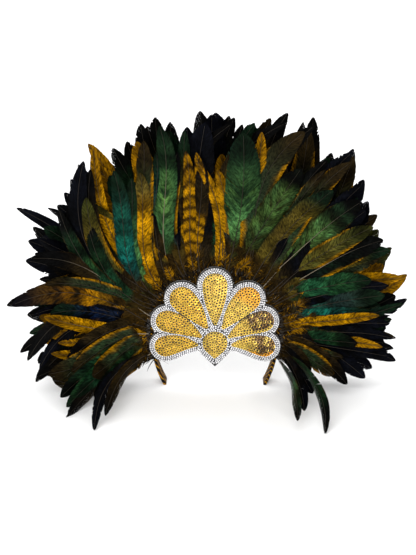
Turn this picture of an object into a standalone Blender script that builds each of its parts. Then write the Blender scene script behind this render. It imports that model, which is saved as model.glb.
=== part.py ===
"""Carnival feather headdress, standing on its headband ends and its lowest feathers.

Metres, +Z up. The wearer's face side is -Y, and the viewer's right is +X. A flat headband
stands as an arch in the XZ plane. Three rows of cock feathers are tied to tape on its outer
face, and a felt plate with sequined petals and a beaded border covers the front of the arch.
"""

import math
from typing import NamedTuple

import bmesh
import bpy
from mathutils import Vector

# Headband: a flat strip bent to an arch, measured on its centre line
BAND_HALF_WIDTH = 0.068
BAND_END_HALF_GAP = 0.0545
BAND_HEIGHT = 0.129
BAND_SHOULDER = 0.062
BAND_WIDTH = 0.022
BAND_THICKNESS = 0.003
BAND_CHAMFER = 0.0007
LEG_CURVE = 2.3
BAND_SEGMENTS = 33

# Clearance between pieces that touch
GAP = 0.0003

# Feather tape on the band's outer face
TAPE_THICKNESS = 0.004
TAPE_START = 0.095
SECTORS = ("left_low", "left", "top", "right", "right_low")
SECTOR_SEGMENTS = 5

# Feather fan
FAN_HALF_WIDTH = 0.225
FAN_HEIGHT = 0.312
FAN_DEPTH = 0.145
FEATHER_WIDTH = 0.034
QUILL_WIDTH = 0.0028
QUILL_THICKNESS = 0.0013
VANE_THICKNESS = 0.0009
CUP = 0.06
ROW_COUNT = 3
LAYERS_PER_ROW = 4
LAYER_COUNT = ROW_COUNT * LAYERS_PER_ROW
BACK_LEAN = 0.10
FRONT_LEAN = -0.46
UPRIGHT_STRETCH = 0.027
FORWARD_CURVE = 1.25

# How a feather's line leaves the tape and bends: shares of the tape, the length and the bow
ROOT_PLACE = 0.45
ROOT_RUN = 0.30
ROOT_BOW = 0.5
BEND_PLACE = 0.62
BEND_BOW = 1.6
TANGENT_STEP = 0.02

# The middle row follows the back row, a little shorter
MIDDLE_COUNT = 30
MIDDLE_REACH = 0.93
MIDDLE_WIDTH = 0.80

# Sequined plate on the front of the arch, just wider and taller than it
PLATE_DROP = 0.0115
PLATE_CENTRE_HEIGHT = BAND_SHOULDER - PLATE_DROP
PLATE_SIDE_COVER = 0.0005
PLATE_TOP_COVER = 0.0015
PLATE_REACH = BAND_HALF_WIDTH + PLATE_SIDE_COVER
PLATE_RISE = BAND_HEIGHT - BAND_SHOULDER + PLATE_TOP_COVER
FELT_THICKNESS = 0.002
BORDER_WIDTH = 0.006
FELT_MARGIN = 0.0006
BORDER_THICKNESS = 0.0018
FIELD_THICKNESS = 0.0019
FIELD_BEVEL = 0.0013
CENTRE_RADIUS = 0.0132
CENTRE_POINT = 0.0180
POINT_GROWTH = 1.5
CAP_SIDES = 9
SPINE_STEPS = 4


class Feather(NamedTuple):
    """One feather, read from its tip.

    tip_x and tip_z are shares of FAN_HALF_WIDTH and FAN_HEIGHT, width is a share of
    FEATHER_WIDTH, and bow is how far its middle stands off the straight line to its tip, as a
    share of its length, to the left of its growth as the front shows it. ahead is the forward
    reach of a feather that comes down in front, as a share of FAN_DEPTH.
    """

    tip_x: float
    tip_z: float
    width: float
    bow: float
    ahead: float = 0.0


class Petal(NamedTuple):
    """One petal of the plate: where its middle line starts and ends, and its two radii.

    Places are shares of PLATE_REACH and PLATE_RISE from the plate's centre. Radii are shares
    of the plate's half size across the petal, so that neighbours keep their room.
    """

    name: str
    root_x: float
    root_z: float
    end_x: float
    end_z: float
    end_radius: float
    root_radius: float
    bow: float


# Feathers from the left end of the band, over its top, to the right end
BACK_ROW = (
    Feather(-0.87, 0.04, 0.45, -0.14),
    Feather(-0.95, 0.09, 0.50, -0.19),
    Feather(-0.90, 0.17, 0.50, -0.10),
    Feather(-1.00, 0.285, 0.66, -0.15),
    Feather(-0.84, 0.25, 0.55, -0.04),
    Feather(-0.91, 0.43, 0.66, -0.09),
    Feather(-0.89, 0.51, 0.70, -0.06),
    Feather(-0.86, 0.57, 0.62, 0.04),
    Feather(-0.95, 0.61, 0.40, -0.05),
    Feather(-0.75, 0.63, 0.70, -0.03),
    Feather(-0.68, 0.73, 0.72, 0.05),
    Feather(-0.64, 0.79, 0.66, 0.03),
    Feather(-0.60, 0.84, 0.55, -0.03),
    Feather(-0.54, 0.77, 0.70, 0.04),
    Feather(-0.45, 0.82, 0.72, 0.05),
    Feather(-0.41, 0.87, 0.66, 0.03),
    Feather(-0.35, 0.91, 0.74, 0.05),
    Feather(-0.28, 0.94, 0.72, 0.06),
    Feather(-0.21, 0.93, 0.66, 0.05),
    Feather(-0.13, 0.92, 0.66, 0.03),
    Feather(-0.07, 0.955, 0.84, 0.02),
    Feather(0.00, 0.955, 0.90, -0.02),
    Feather(0.09, 0.945, 0.62, 0.12),
    Feather(0.18, 0.93, 0.66, 0.04),
    Feather(0.26, 0.93, 0.66, 0.08),
    Feather(0.34, 0.955, 0.62, 0.10),
    Feather(0.41, 0.93, 0.70, -0.04),
    Feather(0.455, 0.955, 0.66, -0.05),
    Feather(0.55, 0.81, 0.70, -0.04),
    Feather(0.65, 0.83, 0.70, -0.05),
    Feather(0.70, 0.73, 0.66, -0.04),
    Feather(0.72, 0.66, 0.78, -0.05),
    Feather(0.775, 0.59, 0.62, 0.04),
    Feather(0.845, 0.48, 0.66, -0.04),
    Feather(0.92, 0.39, 0.55, -0.08),
    Feather(0.92, 0.31, 0.48, -0.09),
    Feather(0.86, 0.21, 0.55, -0.04),
    Feather(0.88, 0.15, 0.46, 0.05),
    Feather(0.88, 0.07, 0.50, 0.08),
    Feather(0.70, 0.03, 0.50, 0.12),
)

FRONT_ROW = (
    Feather(-0.55, 0.00, 0.34, -0.36, 0.95),
    Feather(-0.69, 0.00, 0.45, -0.06, 0.72),
    Feather(-0.69, 0.03, 0.55, -0.05, 0.66),
    Feather(-0.72, 0.05, 0.55, -0.04, 0.58),
    Feather(-0.78, 0.12, 0.78, 0.08, 0.50),
    Feather(-0.85, 0.06, 0.50, -0.15, 0.34),
    Feather(-0.80, 0.16, 0.66, -0.08),
    Feather(-0.77, 0.215, 0.62, -0.06),
    Feather(-0.83, 0.275, 0.70, 0.06),
    Feather(-0.74, 0.34, 0.70, -0.04),
    Feather(-0.81, 0.40, 0.68, -0.04),
    Feather(-0.75, 0.48, 0.72, -0.03),
    Feather(-0.82, 0.565, 0.60, 0.03),
    Feather(-0.71, 0.62, 0.74, 0.03),
    Feather(-0.72, 0.67, 0.62, 0.04),
    Feather(-0.62, 0.745, 0.72, 0.03),
    Feather(-0.56, 0.83, 0.62, -0.03),
    Feather(-0.48, 0.79, 0.72, 0.06),
    Feather(-0.46, 0.90, 0.66, 0.03),
    Feather(-0.35, 0.93, 0.78, 0.05),
    Feather(-0.31, 0.96, 0.66, 0.02),
    Feather(-0.21, 0.95, 0.74, 0.04),
    Feather(-0.14, 0.91, 0.66, 0.05),
    Feather(-0.10, 0.91, 0.55, -0.04),
    Feather(-0.015, 1.00, 0.84, 0.03),
    Feather(0.03, 0.86, 0.58, 0.02),
    Feather(0.15, 0.98, 1.12, -0.05),
    Feather(0.225, 0.97, 0.62, 0.04),
    Feather(0.29, 0.86, 0.60, -0.02),
    Feather(0.42, 0.96, 0.66, -0.05),
    Feather(0.51, 0.87, 0.74, -0.03),
    Feather(0.57, 0.82, 0.62, 0.04),
    Feather(0.63, 0.86, 0.66, -0.05),
    Feather(0.65, 0.72, 0.84, 0.03),
    Feather(0.75, 0.61, 0.70, -0.05),
    Feather(0.78, 0.54, 0.66, 0.04),
    Feather(0.82, 0.40, 0.66, 0.03),
    Feather(0.78, 0.325, 0.60, -0.05),
    Feather(0.80, 0.25, 0.62, 0.04),
    Feather(0.76, 0.175, 0.62, 0.04),
    Feather(0.72, 0.05, 0.55, 0.06, 0.20),
    Feather(0.63, 0.05, 0.52, 0.06, 0.32),
    Feather(0.56, 0.09, 0.55, 0.04, 0.36),
    Feather(0.46, 0.05, 0.42, 0.04, 0.52),
    Feather(0.50, 0.00, 0.36, 0.42, 1.00),
)

# Width of a feather along its length: station, share of its full width. A feather that would
# sag below the floor is lifted to it, in full from the steady station on
VANE_PROFILE = (
    (0.00, 0.00),
    (0.06, 0.24),
    (0.18, 0.56),
    (0.38, 0.88),
    (0.60, 1.00),
    (0.80, 0.90),
    (0.93, 0.62),
)
STEADY_STATION = 4

# Left petals and the top one; the right petals mirror the left ones
PETALS = (
    Petal("lower", -0.290, -0.030, -0.779, -0.053, 0.168, 0.028, -0.13),
    Petal("middle", -0.235, 0.112, -0.750, 0.368, 0.175, 0.030, -0.11),
    Petal("upper", -0.140, 0.268, -0.512, 0.738, 0.196, 0.032, -0.06),
    Petal("top", 0.0, 0.322, 0.0, 0.968, 0.190, 0.030, 0.0),
)

BLACK_RIBBON = ("black_ribbon", (0.016, 0.013, 0.010), 0.55, 0.0)
BLACK_FELT = ("black_felt", (0.012, 0.011, 0.010), 0.95, 0.0)
SILVER_BEADS = ("silver_beads", (0.72, 0.71, 0.70), 0.25, 0.9)
GOLD_SEQUINS = ("gold_sequins", (0.86, 0.58, 0.10), 0.22, 1.0)
BACK_FEATHER = ("back_feather", (0.020, 0.018, 0.022), 0.50, 0.0)
MIDDLE_FEATHER = ("middle_feather", (0.22, 0.115, 0.008), 0.60, 0.0)
FRONT_FEATHER = ("front_feather", (0.035, 0.105, 0.045), 0.42, 0.2)


def clear_scene():
    """Remove every object that the file opens with."""
    for item in list(bpy.data.objects):
        bpy.data.objects.remove(item)


def material(finish):
    """The Principled material of a finish: name, colour, roughness, metallic."""
    name, colour, roughness, metallic = finish
    found = bpy.data.materials.get(name)
    if found:
        return found
    made = bpy.data.materials.new(name)
    made.use_nodes = True
    shader = made.node_tree.nodes["Principled BSDF"]
    shader.inputs["Base Color"].default_value = (*colour, 1.0)
    shader.inputs["Roughness"].default_value = roughness
    shader.inputs["Metallic"].default_value = metallic
    return made


def mesh_object(name, points, faces, finish, twisted=False):
    """A named object from points and faces, with its faces turned outward.

    The faces of a twisted solid aren't flat, so they are split into triangles.
    """
    mesh = bpy.data.meshes.new(name)
    mesh.from_pydata([tuple(p) for p in points], [], faces)
    work = bmesh.new()
    work.from_mesh(mesh)
    if twisted:
        bmesh.ops.triangulate(work, faces=work.faces)
    bmesh.ops.recalc_face_normals(work, faces=work.faces)
    work.to_mesh(mesh)
    work.free()
    mesh.materials.append(material(finish))
    made = bpy.data.objects.new(name, mesh)
    bpy.context.scene.collection.objects.link(made)
    return made


def skin_rings(rings, closed_tip=None):
    """Points and faces of a solid skinned over rings of equal count.

    The first ring is capped by one face. The last ring is capped too, or drawn to closed_tip.
    """
    count = len(rings[0])
    points = [p for ring in rings for p in ring]
    faces = [list(range(count))[::-1]]
    for row in range(len(rings) - 1):
        low, high = row * count, (row + 1) * count
        for i in range(count):
            j = (i + 1) % count
            faces.append([low + i, low + j, high + j, high + i])
    last = (len(rings) - 1) * count
    if closed_tip is None:
        faces.append([last + i for i in range(count)])
    else:
        points.append(closed_tip)
        tip = len(points) - 1
        faces += [[last + i, last + (i + 1) % count, tip] for i in range(count)]
    return points, faces


def boolean(target, others, operation):
    """Join others to target, or cut them from it, and remove them."""
    operands = bpy.data.collections.new("operands")
    for item in others:
        bpy.context.scene.collection.objects.unlink(item)
        operands.objects.link(item)
    step = target.modifiers.new("boolean", "BOOLEAN")
    step.operation = operation
    step.operand_type = "COLLECTION"
    step.collection = operands
    bpy.context.view_layer.update()
    shape = target.evaluated_get(bpy.context.evaluated_depsgraph_get())
    finished = bpy.data.meshes.new_from_object(shape)
    target.modifiers.remove(step)
    target.data = finished
    for item in others:
        bpy.data.objects.remove(item)
    bpy.data.collections.remove(operands)
    return target


class BandLine:
    """The headband's centre line in the XZ plane, from the left end to the right end."""

    SAMPLES = 400

    def __init__(self):
        rise = BAND_HEIGHT - BAND_SHOULDER
        leg = []
        for i in range(self.SAMPLES):
            down = 1.0 - i / self.SAMPLES
            inward = (BAND_HALF_WIDTH - BAND_END_HALF_GAP) * down**LEG_CURVE
            leg.append((BAND_HALF_WIDTH - inward, BAND_SHOULDER * (1.0 - down)))
        arch = []
        for i in range(self.SAMPLES + 1):
            turn = math.pi * (1.0 - i / self.SAMPLES)
            x = BAND_HALF_WIDTH * math.cos(turn)
            arch.append((x, BAND_SHOULDER + rise * math.sin(turn)))
        line = [(-x, z) for x, z in leg] + arch + leg[::-1]
        self.points = [Vector((x, 0.0, z)) for x, z in line]
        self.lengths = [0.0]
        for a, b in zip(self.points, self.points[1:]):
            self.lengths.append(self.lengths[-1] + (b - a).length)

    def at(self, share):
        """Point, and normal pointing away from the head, at a share of the line."""
        reach = min(max(share, 0.0), 1.0) * self.lengths[-1]
        i = 1
        while i < len(self.lengths) - 1 and self.lengths[i] < reach:
            i += 1
        a, b = self.points[i - 1], self.points[i]
        part = (reach - self.lengths[i - 1]) / (self.lengths[i] - self.lengths[i - 1])
        along = (b - a).normalized()
        return a.lerp(b, part), Vector((-along.z, 0.0, along.x))


def build_headband(line):
    """The arch: a flat strip with eased edges, its ends cut level to stand on."""
    half_w, half_t = BAND_WIDTH / 2, BAND_THICKNESS / 2
    section = [
        (half_w - BAND_CHAMFER, -half_t),
        (half_w, -half_t + BAND_CHAMFER),
        (half_w, half_t - BAND_CHAMFER),
        (half_w - BAND_CHAMFER, half_t),
        (-half_w + BAND_CHAMFER, half_t),
        (-half_w, half_t - BAND_CHAMFER),
        (-half_w, -half_t + BAND_CHAMFER),
        (-half_w + BAND_CHAMFER, -half_t),
    ]
    rings = []
    for i in range(BAND_SEGMENTS + 1):
        centre, normal = line.at(i / BAND_SEGMENTS)
        level_end = i in (0, BAND_SEGMENTS)
        across = Vector((1.0 / normal.x, 0.0, 0.0)) if level_end else normal
        rings.append([centre + across * t + Vector((0.0, y, 0.0)) for y, t in section])
    return mesh_object("headband", *skin_rings(rings), BLACK_RIBBON)


def tape_bounds(sector):
    """Start and end of a sector's tape, as shares of the band line."""
    feathered = 1.0 - 2.0 * TAPE_START
    start = TAPE_START + feathered * sector / len(SECTORS)
    return start, start + feathered / len(SECTORS)


def build_tape(name, line, sector, row, finish):
    """One stretch of feather tape: a strip lying on the band's outer face."""
    start, end = tape_bounds(sector)
    trim = GAP / 2 / line.lengths[-1]
    pitch = BAND_WIDTH / ROW_COUNT
    middle = pitch * (1 - row)
    half = (pitch - GAP) / 2
    inner = BAND_THICKNESS / 2 + GAP
    outer = inner + TAPE_THICKNESS
    rings = []
    for i in range(SECTOR_SEGMENTS + 1):
        share = start + trim + (end - start - 2 * trim) * i / SECTOR_SEGMENTS
        centre, normal = line.at(share)
        corners = [(inner, -half), (outer, -half), (outer, half), (inner, half)]
        rings.append([centre + normal * r + Vector((0, middle + y, 0)) for r, y in corners])
    return mesh_object(name, *skin_rings(rings), finish)


def layer_depth(layer):
    """Depth of a feather layer at the tape; layer 0 is the rearmost."""
    return BAND_WIDTH / LAYER_COUNT * ((LAYER_COUNT - 1) / 2 - layer)


def layer_lean(layer):
    """Forward or backward slope of a feather layer, beyond the plate."""
    return BACK_LEAN + (FRONT_LEAN - BACK_LEAN) * layer / (LAYER_COUNT - 1)


def spread(point):
    """How far a point of the XZ plane lies beyond the tape, from the arch's centre."""
    tape = BAND_HALF_WIDTH + BAND_THICKNESS / 2 + GAP + TAPE_THICKNESS
    return max(0.0, math.hypot(point.x, point.z - BAND_SHOULDER) - tape)


def feather_line(line, feather, share, layer):
    """A function from 0 at the root to 1 at the tip that gives the feather's centre line."""
    foot, normal = line.at(share)
    root = foot + normal * (BAND_THICKNESS / 2 + GAP + TAPE_THICKNESS * ROOT_PLACE)
    tip = Vector((feather.tip_x * FAN_HALF_WIDTH, 0.0, feather.tip_z * FAN_HEIGHT))
    chord = tip - root
    side = Vector((-chord.z, 0.0, chord.x))
    first = root + normal * chord.length * ROOT_RUN + side * feather.bow * ROOT_BOW
    second = root + chord * BEND_PLACE + side * feather.bow * BEND_BOW
    depth, lean = layer_depth(layer), layer_lean(layer)
    reach = spread(tip) - spread(root)

    def at(t):
        s = 1.0 - t
        point = root * s**3 + first * 3 * s * s * t + second * 3 * s * t * t + tip * t**3
        out = max(0.0, spread(point) - spread(root))
        if feather.ahead:
            forward = feather.ahead * FAN_DEPTH + depth
            point.y = depth - forward * min(1.0, out / reach) ** FORWARD_CURVE
        else:
            point.y = depth + lean * max(0.0, spread(point) - UPRIGHT_STRETCH)
        return point

    return at


def build_feather(name, line, feather, share, layer, finish):
    """One feather: a quill that leaves the tape, and a cupped vane drawn to a point."""
    at = feather_line(line, feather, share, layer)
    full = feather.width * FEATHER_WIDTH
    rings = []
    for t, profile in VANE_PROFILE:
        centre = at(t)
        ahead = at(min(1.0, t + TANGENT_STEP)) - at(max(0.0, t - TANGENT_STEP))
        side = Vector((-ahead.z, 0.0, ahead.x)).normalized()
        face = ahead.cross(side).normalized()
        half = max(QUILL_WIDTH, full * profile) / 2
        thick = (QUILL_THICKNESS + (VANE_THICKNESS - QUILL_THICKNESS) * t) / 2
        edge = -face * (CUP * 2 * half * t)
        rings.append([
            centre + side * half + edge,
            centre + face * thick,
            centre - side * half + edge,
            centre - face * thick,
        ])
    tip = at(1.0)
    sag = min(0.0, tip.z, min(p.z for ring in rings for p in ring))
    for number, ring in enumerate(rings):
        for p in ring:
            p.z -= sag * min(1.0, number / STEADY_STATION)
    tip.z -= sag
    return mesh_object(name, *skin_rings(rings, closed_tip=tip), finish, twisted=True)


def middle_row():
    """The middle row: spaced between the feathers of the back row, and a little shorter."""
    centre = BAND_SHOULDER / FAN_HEIGHT
    made = []
    for i in range(MIDDLE_COUNT):
        place = (i + 0.5) / MIDDLE_COUNT * (len(BACK_ROW) - 1)
        a, b = BACK_ROW[int(place)], BACK_ROW[int(place) + 1]
        part = place - int(place)
        x = a.tip_x + (b.tip_x - a.tip_x) * part
        z = a.tip_z + (b.tip_z - a.tip_z) * part
        bow = (a.bow + b.bow) / 3
        made.append(Feather(x * MIDDLE_REACH, centre + (z - centre) * MIDDLE_REACH, MIDDLE_WIDTH, bow))
    return tuple(made)


def build_row(row_name, feathers, line, row, finish):
    """One row of feathers: a stretch of tape with its feathers fused to it, per sector."""
    tied_here = len(feathers) // len(SECTORS)
    for sector, place in enumerate(SECTORS):
        name = f"{row_name}_feathers_{place}"
        start, end = tape_bounds(sector)
        tape = build_tape(name, line, sector, row, finish)
        tied = []
        for i in range(tied_here):
            number = sector * tied_here + i
            feather = feathers[number]
            share = start + (end - start) * (i + 0.5) / tied_here
            layer = row * LAYERS_PER_ROW + number % LAYERS_PER_ROW
            if feather.ahead:
                layer = LAYER_COUNT - 1 - number % 2
            tied.append(build_feather(f"{name}_{i}", line, feather, share, layer, finish))
        boolean(tape, tied, "UNION")


def petal_outline(petal, grow):
    """Outline of a petal in the plate's plane, grown by a margin, as (x, z) points."""
    root = Vector((petal.root_x * PLATE_REACH, petal.root_z * PLATE_RISE))
    end = Vector((petal.end_x * PLATE_REACH, petal.end_z * PLATE_RISE))
    chord = end - root
    side = Vector((-chord.y, chord.x))
    middle = (root + end) / 2 + side * petal.bow
    across = side.normalized()
    room = math.hypot(across.x * PLATE_REACH, across.y * PLATE_RISE)
    small = petal.root_radius * room + grow
    large = petal.end_radius * room + grow

    def spine(t):
        return root * (1 - t) ** 2 + middle * 2 * t * (1 - t) + end * t * t

    def heading(t):
        way = (middle - root) * 2 * (1 - t) + (end - middle) * 2 * t
        return math.atan2(way.y, way.x)

    def off(t, turn, radius):
        angle = heading(t) + turn
        return spine(t) + Vector((math.cos(angle), math.sin(angle))) * radius

    swell = [(i / SPINE_STEPS, math.sin(i / SPINE_STEPS * math.pi / 2)) for i in range(SPINE_STEPS)]
    right = [off(t, -math.pi / 2, small + (large - small) * w) for t, w in swell]
    cap = [off(1.0, math.pi * (i / CAP_SIDES - 0.5), large) for i in range(CAP_SIDES + 1)]
    left = [off(t, math.pi / 2, small + (large - small) * w) for t, w in swell]
    heel = [off(0.0, math.pi * (0.5 + i / 4), small) for i in range(1, 4)]
    return right + cap + left[::-1] + heel


def centre_outline(grow):
    """Outline of the round centre with its drawn-out lower point, as (x, z) points."""
    radius = CENTRE_RADIUS + grow
    point = CENTRE_POINT + grow * POINT_GROWTH
    tangent = math.acos(radius / point)
    start = -math.pi / 2 + tangent
    sweep = 2 * math.pi - 2 * tangent
    steps = 2 * CAP_SIDES
    turns = [start + sweep * i / steps for i in range(steps + 1)]
    return [Vector((math.cos(a), math.sin(a))) * radius for a in turns] + [Vector((0, -point))]


def mirrored(outline):
    """The outline on the other side of the plate."""
    return [Vector((-p.x, p.y)) for p in outline][::-1]


def plate_outlines(grow):
    """Every field of the plate by name, grown by a margin."""
    shapes = {}
    for number, petal in enumerate(PETALS, start=1):
        shape = petal_outline(petal, grow)
        shapes[f"sequin_petal_{number}"] = shape
        if petal.end_x:
            shapes[f"sequin_petal_{2 * len(PETALS) - number}"] = mirrored(shape)
    shapes["sequin_centre"] = centre_outline(grow)
    return shapes


def plate_ring(outline, front, inset=0.0):
    """An outline as points of the plate at a depth, drawn inwards by an inset."""
    count = len(outline)
    ring = []
    for i, p in enumerate(outline):
        before, after = outline[i - 1], outline[(i + 1) % count]
        along = (after - before).normalized()
        inward = Vector((-along.y, along.x))
        q = p + inward * inset
        ring.append(Vector((q.x, front, PLATE_CENTRE_HEIGHT + q.y)))
    return ring


def prism(name, outline, back, front, finish):
    """A flat piece of the plate between two depths."""
    return mesh_object(name, *skin_rings([plate_ring(outline, d) for d in (back, front)]), finish)


def joined_plate(name, grow, back, front, finish):
    """One scalloped plate: every field grown by a margin, joined."""
    shapes = list(plate_outlines(grow).values())
    pieces = [prism(f"{name}_{i}", s, back, front, finish) for i, s in enumerate(shapes)]
    plate = boolean(pieces[-1], pieces[:-1], "UNION")
    plate.name = name
    return plate


def build_plate():
    """The front plate: felt, the beaded border round each field, and the sequined fields."""
    felt_back = -BAND_WIDTH / 2 - GAP
    felt_front = felt_back - FELT_THICKNESS
    joined_plate("felt_backing", BORDER_WIDTH + FELT_MARGIN, felt_back, felt_front, BLACK_FELT)
    seat = felt_front - GAP
    border = joined_plate("bead_border", BORDER_WIDTH, seat, seat - BORDER_THICKNESS, SILVER_BEADS)
    windows = [
        prism(f"window_{name}", shape, seat + GAP, seat - 2 * BORDER_THICKNESS, SILVER_BEADS)
        for name, shape in plate_outlines(GAP).items()
    ]
    boolean(border, windows, "DIFFERENCE")
    for name, shape in plate_outlines(0.0).items():
        shoulder = seat - (FIELD_THICKNESS - FIELD_BEVEL / 2)
        rings = [
            plate_ring(shape, seat),
            plate_ring(shape, shoulder),
            plate_ring(shape, seat - FIELD_THICKNESS, FIELD_BEVEL),
        ]
        mesh_object(name, *skin_rings(rings), GOLD_SEQUINS)


def set_down():
    """Move everything so that the origin is the centre of the box's floor."""
    corners = [o.matrix_world @ v.co for o in bpy.data.objects for v in o.data.vertices]
    low = Vector([min(c[i] for c in corners) for i in range(3)])
    high = Vector([max(c[i] for c in corners) for i in range(3)])
    move = Vector((-(low.x + high.x) / 2, -(low.y + high.y) / 2, -low.z))
    for item in bpy.data.objects:
        item.location += move


def main():
    """Build the headdress."""
    clear_scene()
    line = BandLine()
    build_headband(line)
    build_row("back", BACK_ROW, line, 0, BACK_FEATHER)
    build_row("middle", middle_row(), line, 1, MIDDLE_FEATHER)
    build_row("front", FRONT_ROW, line, 2, FRONT_FEATHER)
    build_plate()
    set_down()


main()
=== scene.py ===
"""Looks of the carnival feather headdress: dyed cock feathers, sequins, beads and ribbon.

Metres, +Z up. The wearer's face side is -Y, and the viewer's right is +X. Every piece is
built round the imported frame, which it neither moves nor resizes.
"""

from __future__ import annotations

import logging
import math
from dataclasses import dataclass, field
from enum import Enum

import bpy
import numpy as np
from mathutils import Matrix, Vector

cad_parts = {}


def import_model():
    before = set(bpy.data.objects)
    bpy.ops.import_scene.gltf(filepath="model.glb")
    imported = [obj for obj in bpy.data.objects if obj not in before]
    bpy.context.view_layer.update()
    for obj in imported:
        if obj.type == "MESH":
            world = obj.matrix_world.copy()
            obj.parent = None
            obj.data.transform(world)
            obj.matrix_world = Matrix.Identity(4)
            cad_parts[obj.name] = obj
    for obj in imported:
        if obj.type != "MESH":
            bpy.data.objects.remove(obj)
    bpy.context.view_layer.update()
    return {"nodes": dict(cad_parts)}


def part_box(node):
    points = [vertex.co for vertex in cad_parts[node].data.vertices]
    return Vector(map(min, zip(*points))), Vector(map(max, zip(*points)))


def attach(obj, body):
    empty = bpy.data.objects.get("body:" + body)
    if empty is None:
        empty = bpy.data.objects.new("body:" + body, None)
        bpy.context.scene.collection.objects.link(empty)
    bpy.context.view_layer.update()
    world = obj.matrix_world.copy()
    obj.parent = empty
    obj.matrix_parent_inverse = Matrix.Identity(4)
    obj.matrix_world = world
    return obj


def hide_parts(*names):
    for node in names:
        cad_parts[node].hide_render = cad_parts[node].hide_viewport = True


LOG = logging.getLogger("headdress")

Colour = tuple[float, float, float]
Range = tuple[float, float]

# Headband and feather tape, as in the frame
BAND_HALF_WIDTH = 0.068
BAND_END_HALF_GAP = 0.0545
BAND_HEIGHT = 0.129
BAND_SHOULDER = 0.062
BAND_WIDTH = 0.022
BAND_THICKNESS = 0.003
LEG_CURVE = 2.3
GAP = 0.0003
TAPE_THICKNESS = 0.004
TAPE_START = 0.095
SECTORS = ("left_low", "left", "top", "right", "right_low")

# Feather fan, as in the frame
FAN_HALF_WIDTH = 0.225
FAN_HEIGHT = 0.312
FAN_DEPTH = 0.145
FEATHER_WIDTH = 0.034
LAYERS_PER_ROW = 4
LAYER_COUNT = 12
BACK_LEAN = 0.10
FRONT_LEAN = -0.46
UPRIGHT_STRETCH = 0.027
FORWARD_CURVE = 1.25
ROOT_PLACE = 0.45
ROOT_RUN = 0.30
ROOT_BOW = 0.5
BEND_PLACE = 0.62
BEND_BOW = 1.6
MIDDLE_COUNT = 30
MIDDLE_REACH = 0.93
MIDDLE_WIDTH = 0.80

# Sequined plate, as in the frame
PLATE_CENTRE_HEIGHT = 0.0505
PLATE_REACH = 0.0685
PLATE_RISE = 0.0685
CENTRE_RADIUS = 0.0132
CENTRE_POINT = 0.0180

# Dyes and other colours, linear
AMBER_TONE = (0.235, 0.108, 0.001)
GOLDEN = (0.33, 0.155, 0.001)
UMBER = (0.022, 0.012, 0.002)
RUSSET = (0.110, 0.050, 0.001)
SEPIA = (0.014, 0.009, 0.003)
SOOT = (0.0018, 0.0018, 0.0018)
INK = (0.0020, 0.0024, 0.0042)
VIOLET = (0.008, 0.015, 0.034)
PINE = (0.004, 0.011, 0.005)
JADE = (0.026, 0.098, 0.025)
LAGOON = (0.008, 0.130, 0.080)
OLIVE_TONE = (0.020, 0.021, 0.004)
MOSS_TONE = (0.062, 0.046, 0.006)
SLATE_TONE = (0.012, 0.017, 0.014)
FERN = (0.085, 0.190, 0.042)
TOBACCO = (0.055, 0.040, 0.007)
STRAW = (0.20, 0.165, 0.115)
HORN = (0.020, 0.015, 0.010)
GOLD = (0.77, 0.52, 0.085)
DEEP_GOLD = (0.67, 0.41, 0.042)
# Painted dark reflection on the sequins of the outer parts of the right middle and right lower petals
PAINTED_REFLECTION_BRONZE = (0.105, 0.051, 0.005)
FIRE_GOLD = (1.0, 0.42, 0.02)
SILVER = (0.86, 0.85, 0.87)

FLOOR_CLEARANCE = 0.0006

# The photograph's view: elevation, distance, and one step of the picture plane
VIEW_ELEVATION = math.radians(22.0)
VIEW_DISTANCE = 2.0
VIEW_STEP = 0.0011

# How close the covers lie to one another, and how many rounds place a cover's tip
COVER_PACKING = 0.25
PLACING_ROUNDS = 12

# Short coverts and loose down hairs in each sector of the front row
FRONT_COVERTS = (4, 2, 2, 3, 8)
FRONT_HAIRS = (150, 520, 520, 520, 150)

# The middle of most values of a noise
NOISE_REACH = (0.3, 0.7)


def mix(a: np.ndarray, b: np.ndarray, part: np.ndarray) -> np.ndarray:
    """Blend two colours by a share for each point.

    Args:
        a: Colour at share 0, one or one for each point.
        b: Colour at share 1.
        part: Share for each point.

    Returns:
        One colour for each point.
    """
    return np.asarray(a) + (np.asarray(b) - np.asarray(a)) * np.clip(part, 0.0, 1.0)[..., None]


def ramp(value: np.ndarray, start: float, end: float) -> np.ndarray:
    """A smooth step from 0 at start to 1 at end."""
    share = np.clip((value - start) / (end - start), 0.0, 1.0)
    return share * share * (3.0 - 2.0 * share)


@dataclass
class Ripple:
    """Soft repeatable noise over a feather, summed from a few tilted waves."""

    rng: np.random.Generator
    along: float
    across: float
    waves: int = 5
    terms: list = field(default_factory=list)

    def __post_init__(self) -> None:
        """Draw the waves."""
        for _ in range(self.waves):
            a = self.rng.uniform(0.5, 1.6) * self.along
            b = self.rng.uniform(-1.0, 1.0) * self.across
            self.terms.append((a, b, self.rng.uniform(0.0, 2.0 * math.pi)))

    def at(self, t: np.ndarray, u: np.ndarray) -> np.ndarray:
        """Noise between about -1 and 1 at each place."""
        total = sum(np.sin(a * t + b * u + turn) for a, b, turn in self.terms)
        return total / math.sqrt(len(self.terms) * 0.9)


@dataclass(frozen=True)
class Dye:
    """How one sort of feather is coloured, from its downy foot to its tip.

    rim is the colour of the vane's edge and rim_share the part of the half width that it
    takes. bars is the strength of dark bars and streak of a dark middle. lit is the strength of a bright
    patch painted on the vane in its sheen colour, a painted highlight of its iridescent sheen. gloss is
    how metallic it shines.
    """

    foot: Colour
    middle: Colour
    tip: Colour
    rim: Colour = SOOT
    rim_share: float = 0.0
    bars: float = 0.0
    streak: float = 0.0
    painted_sheen: Colour = SOOT
    lit: float = 0.0
    gloss: float = 0.25


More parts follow.
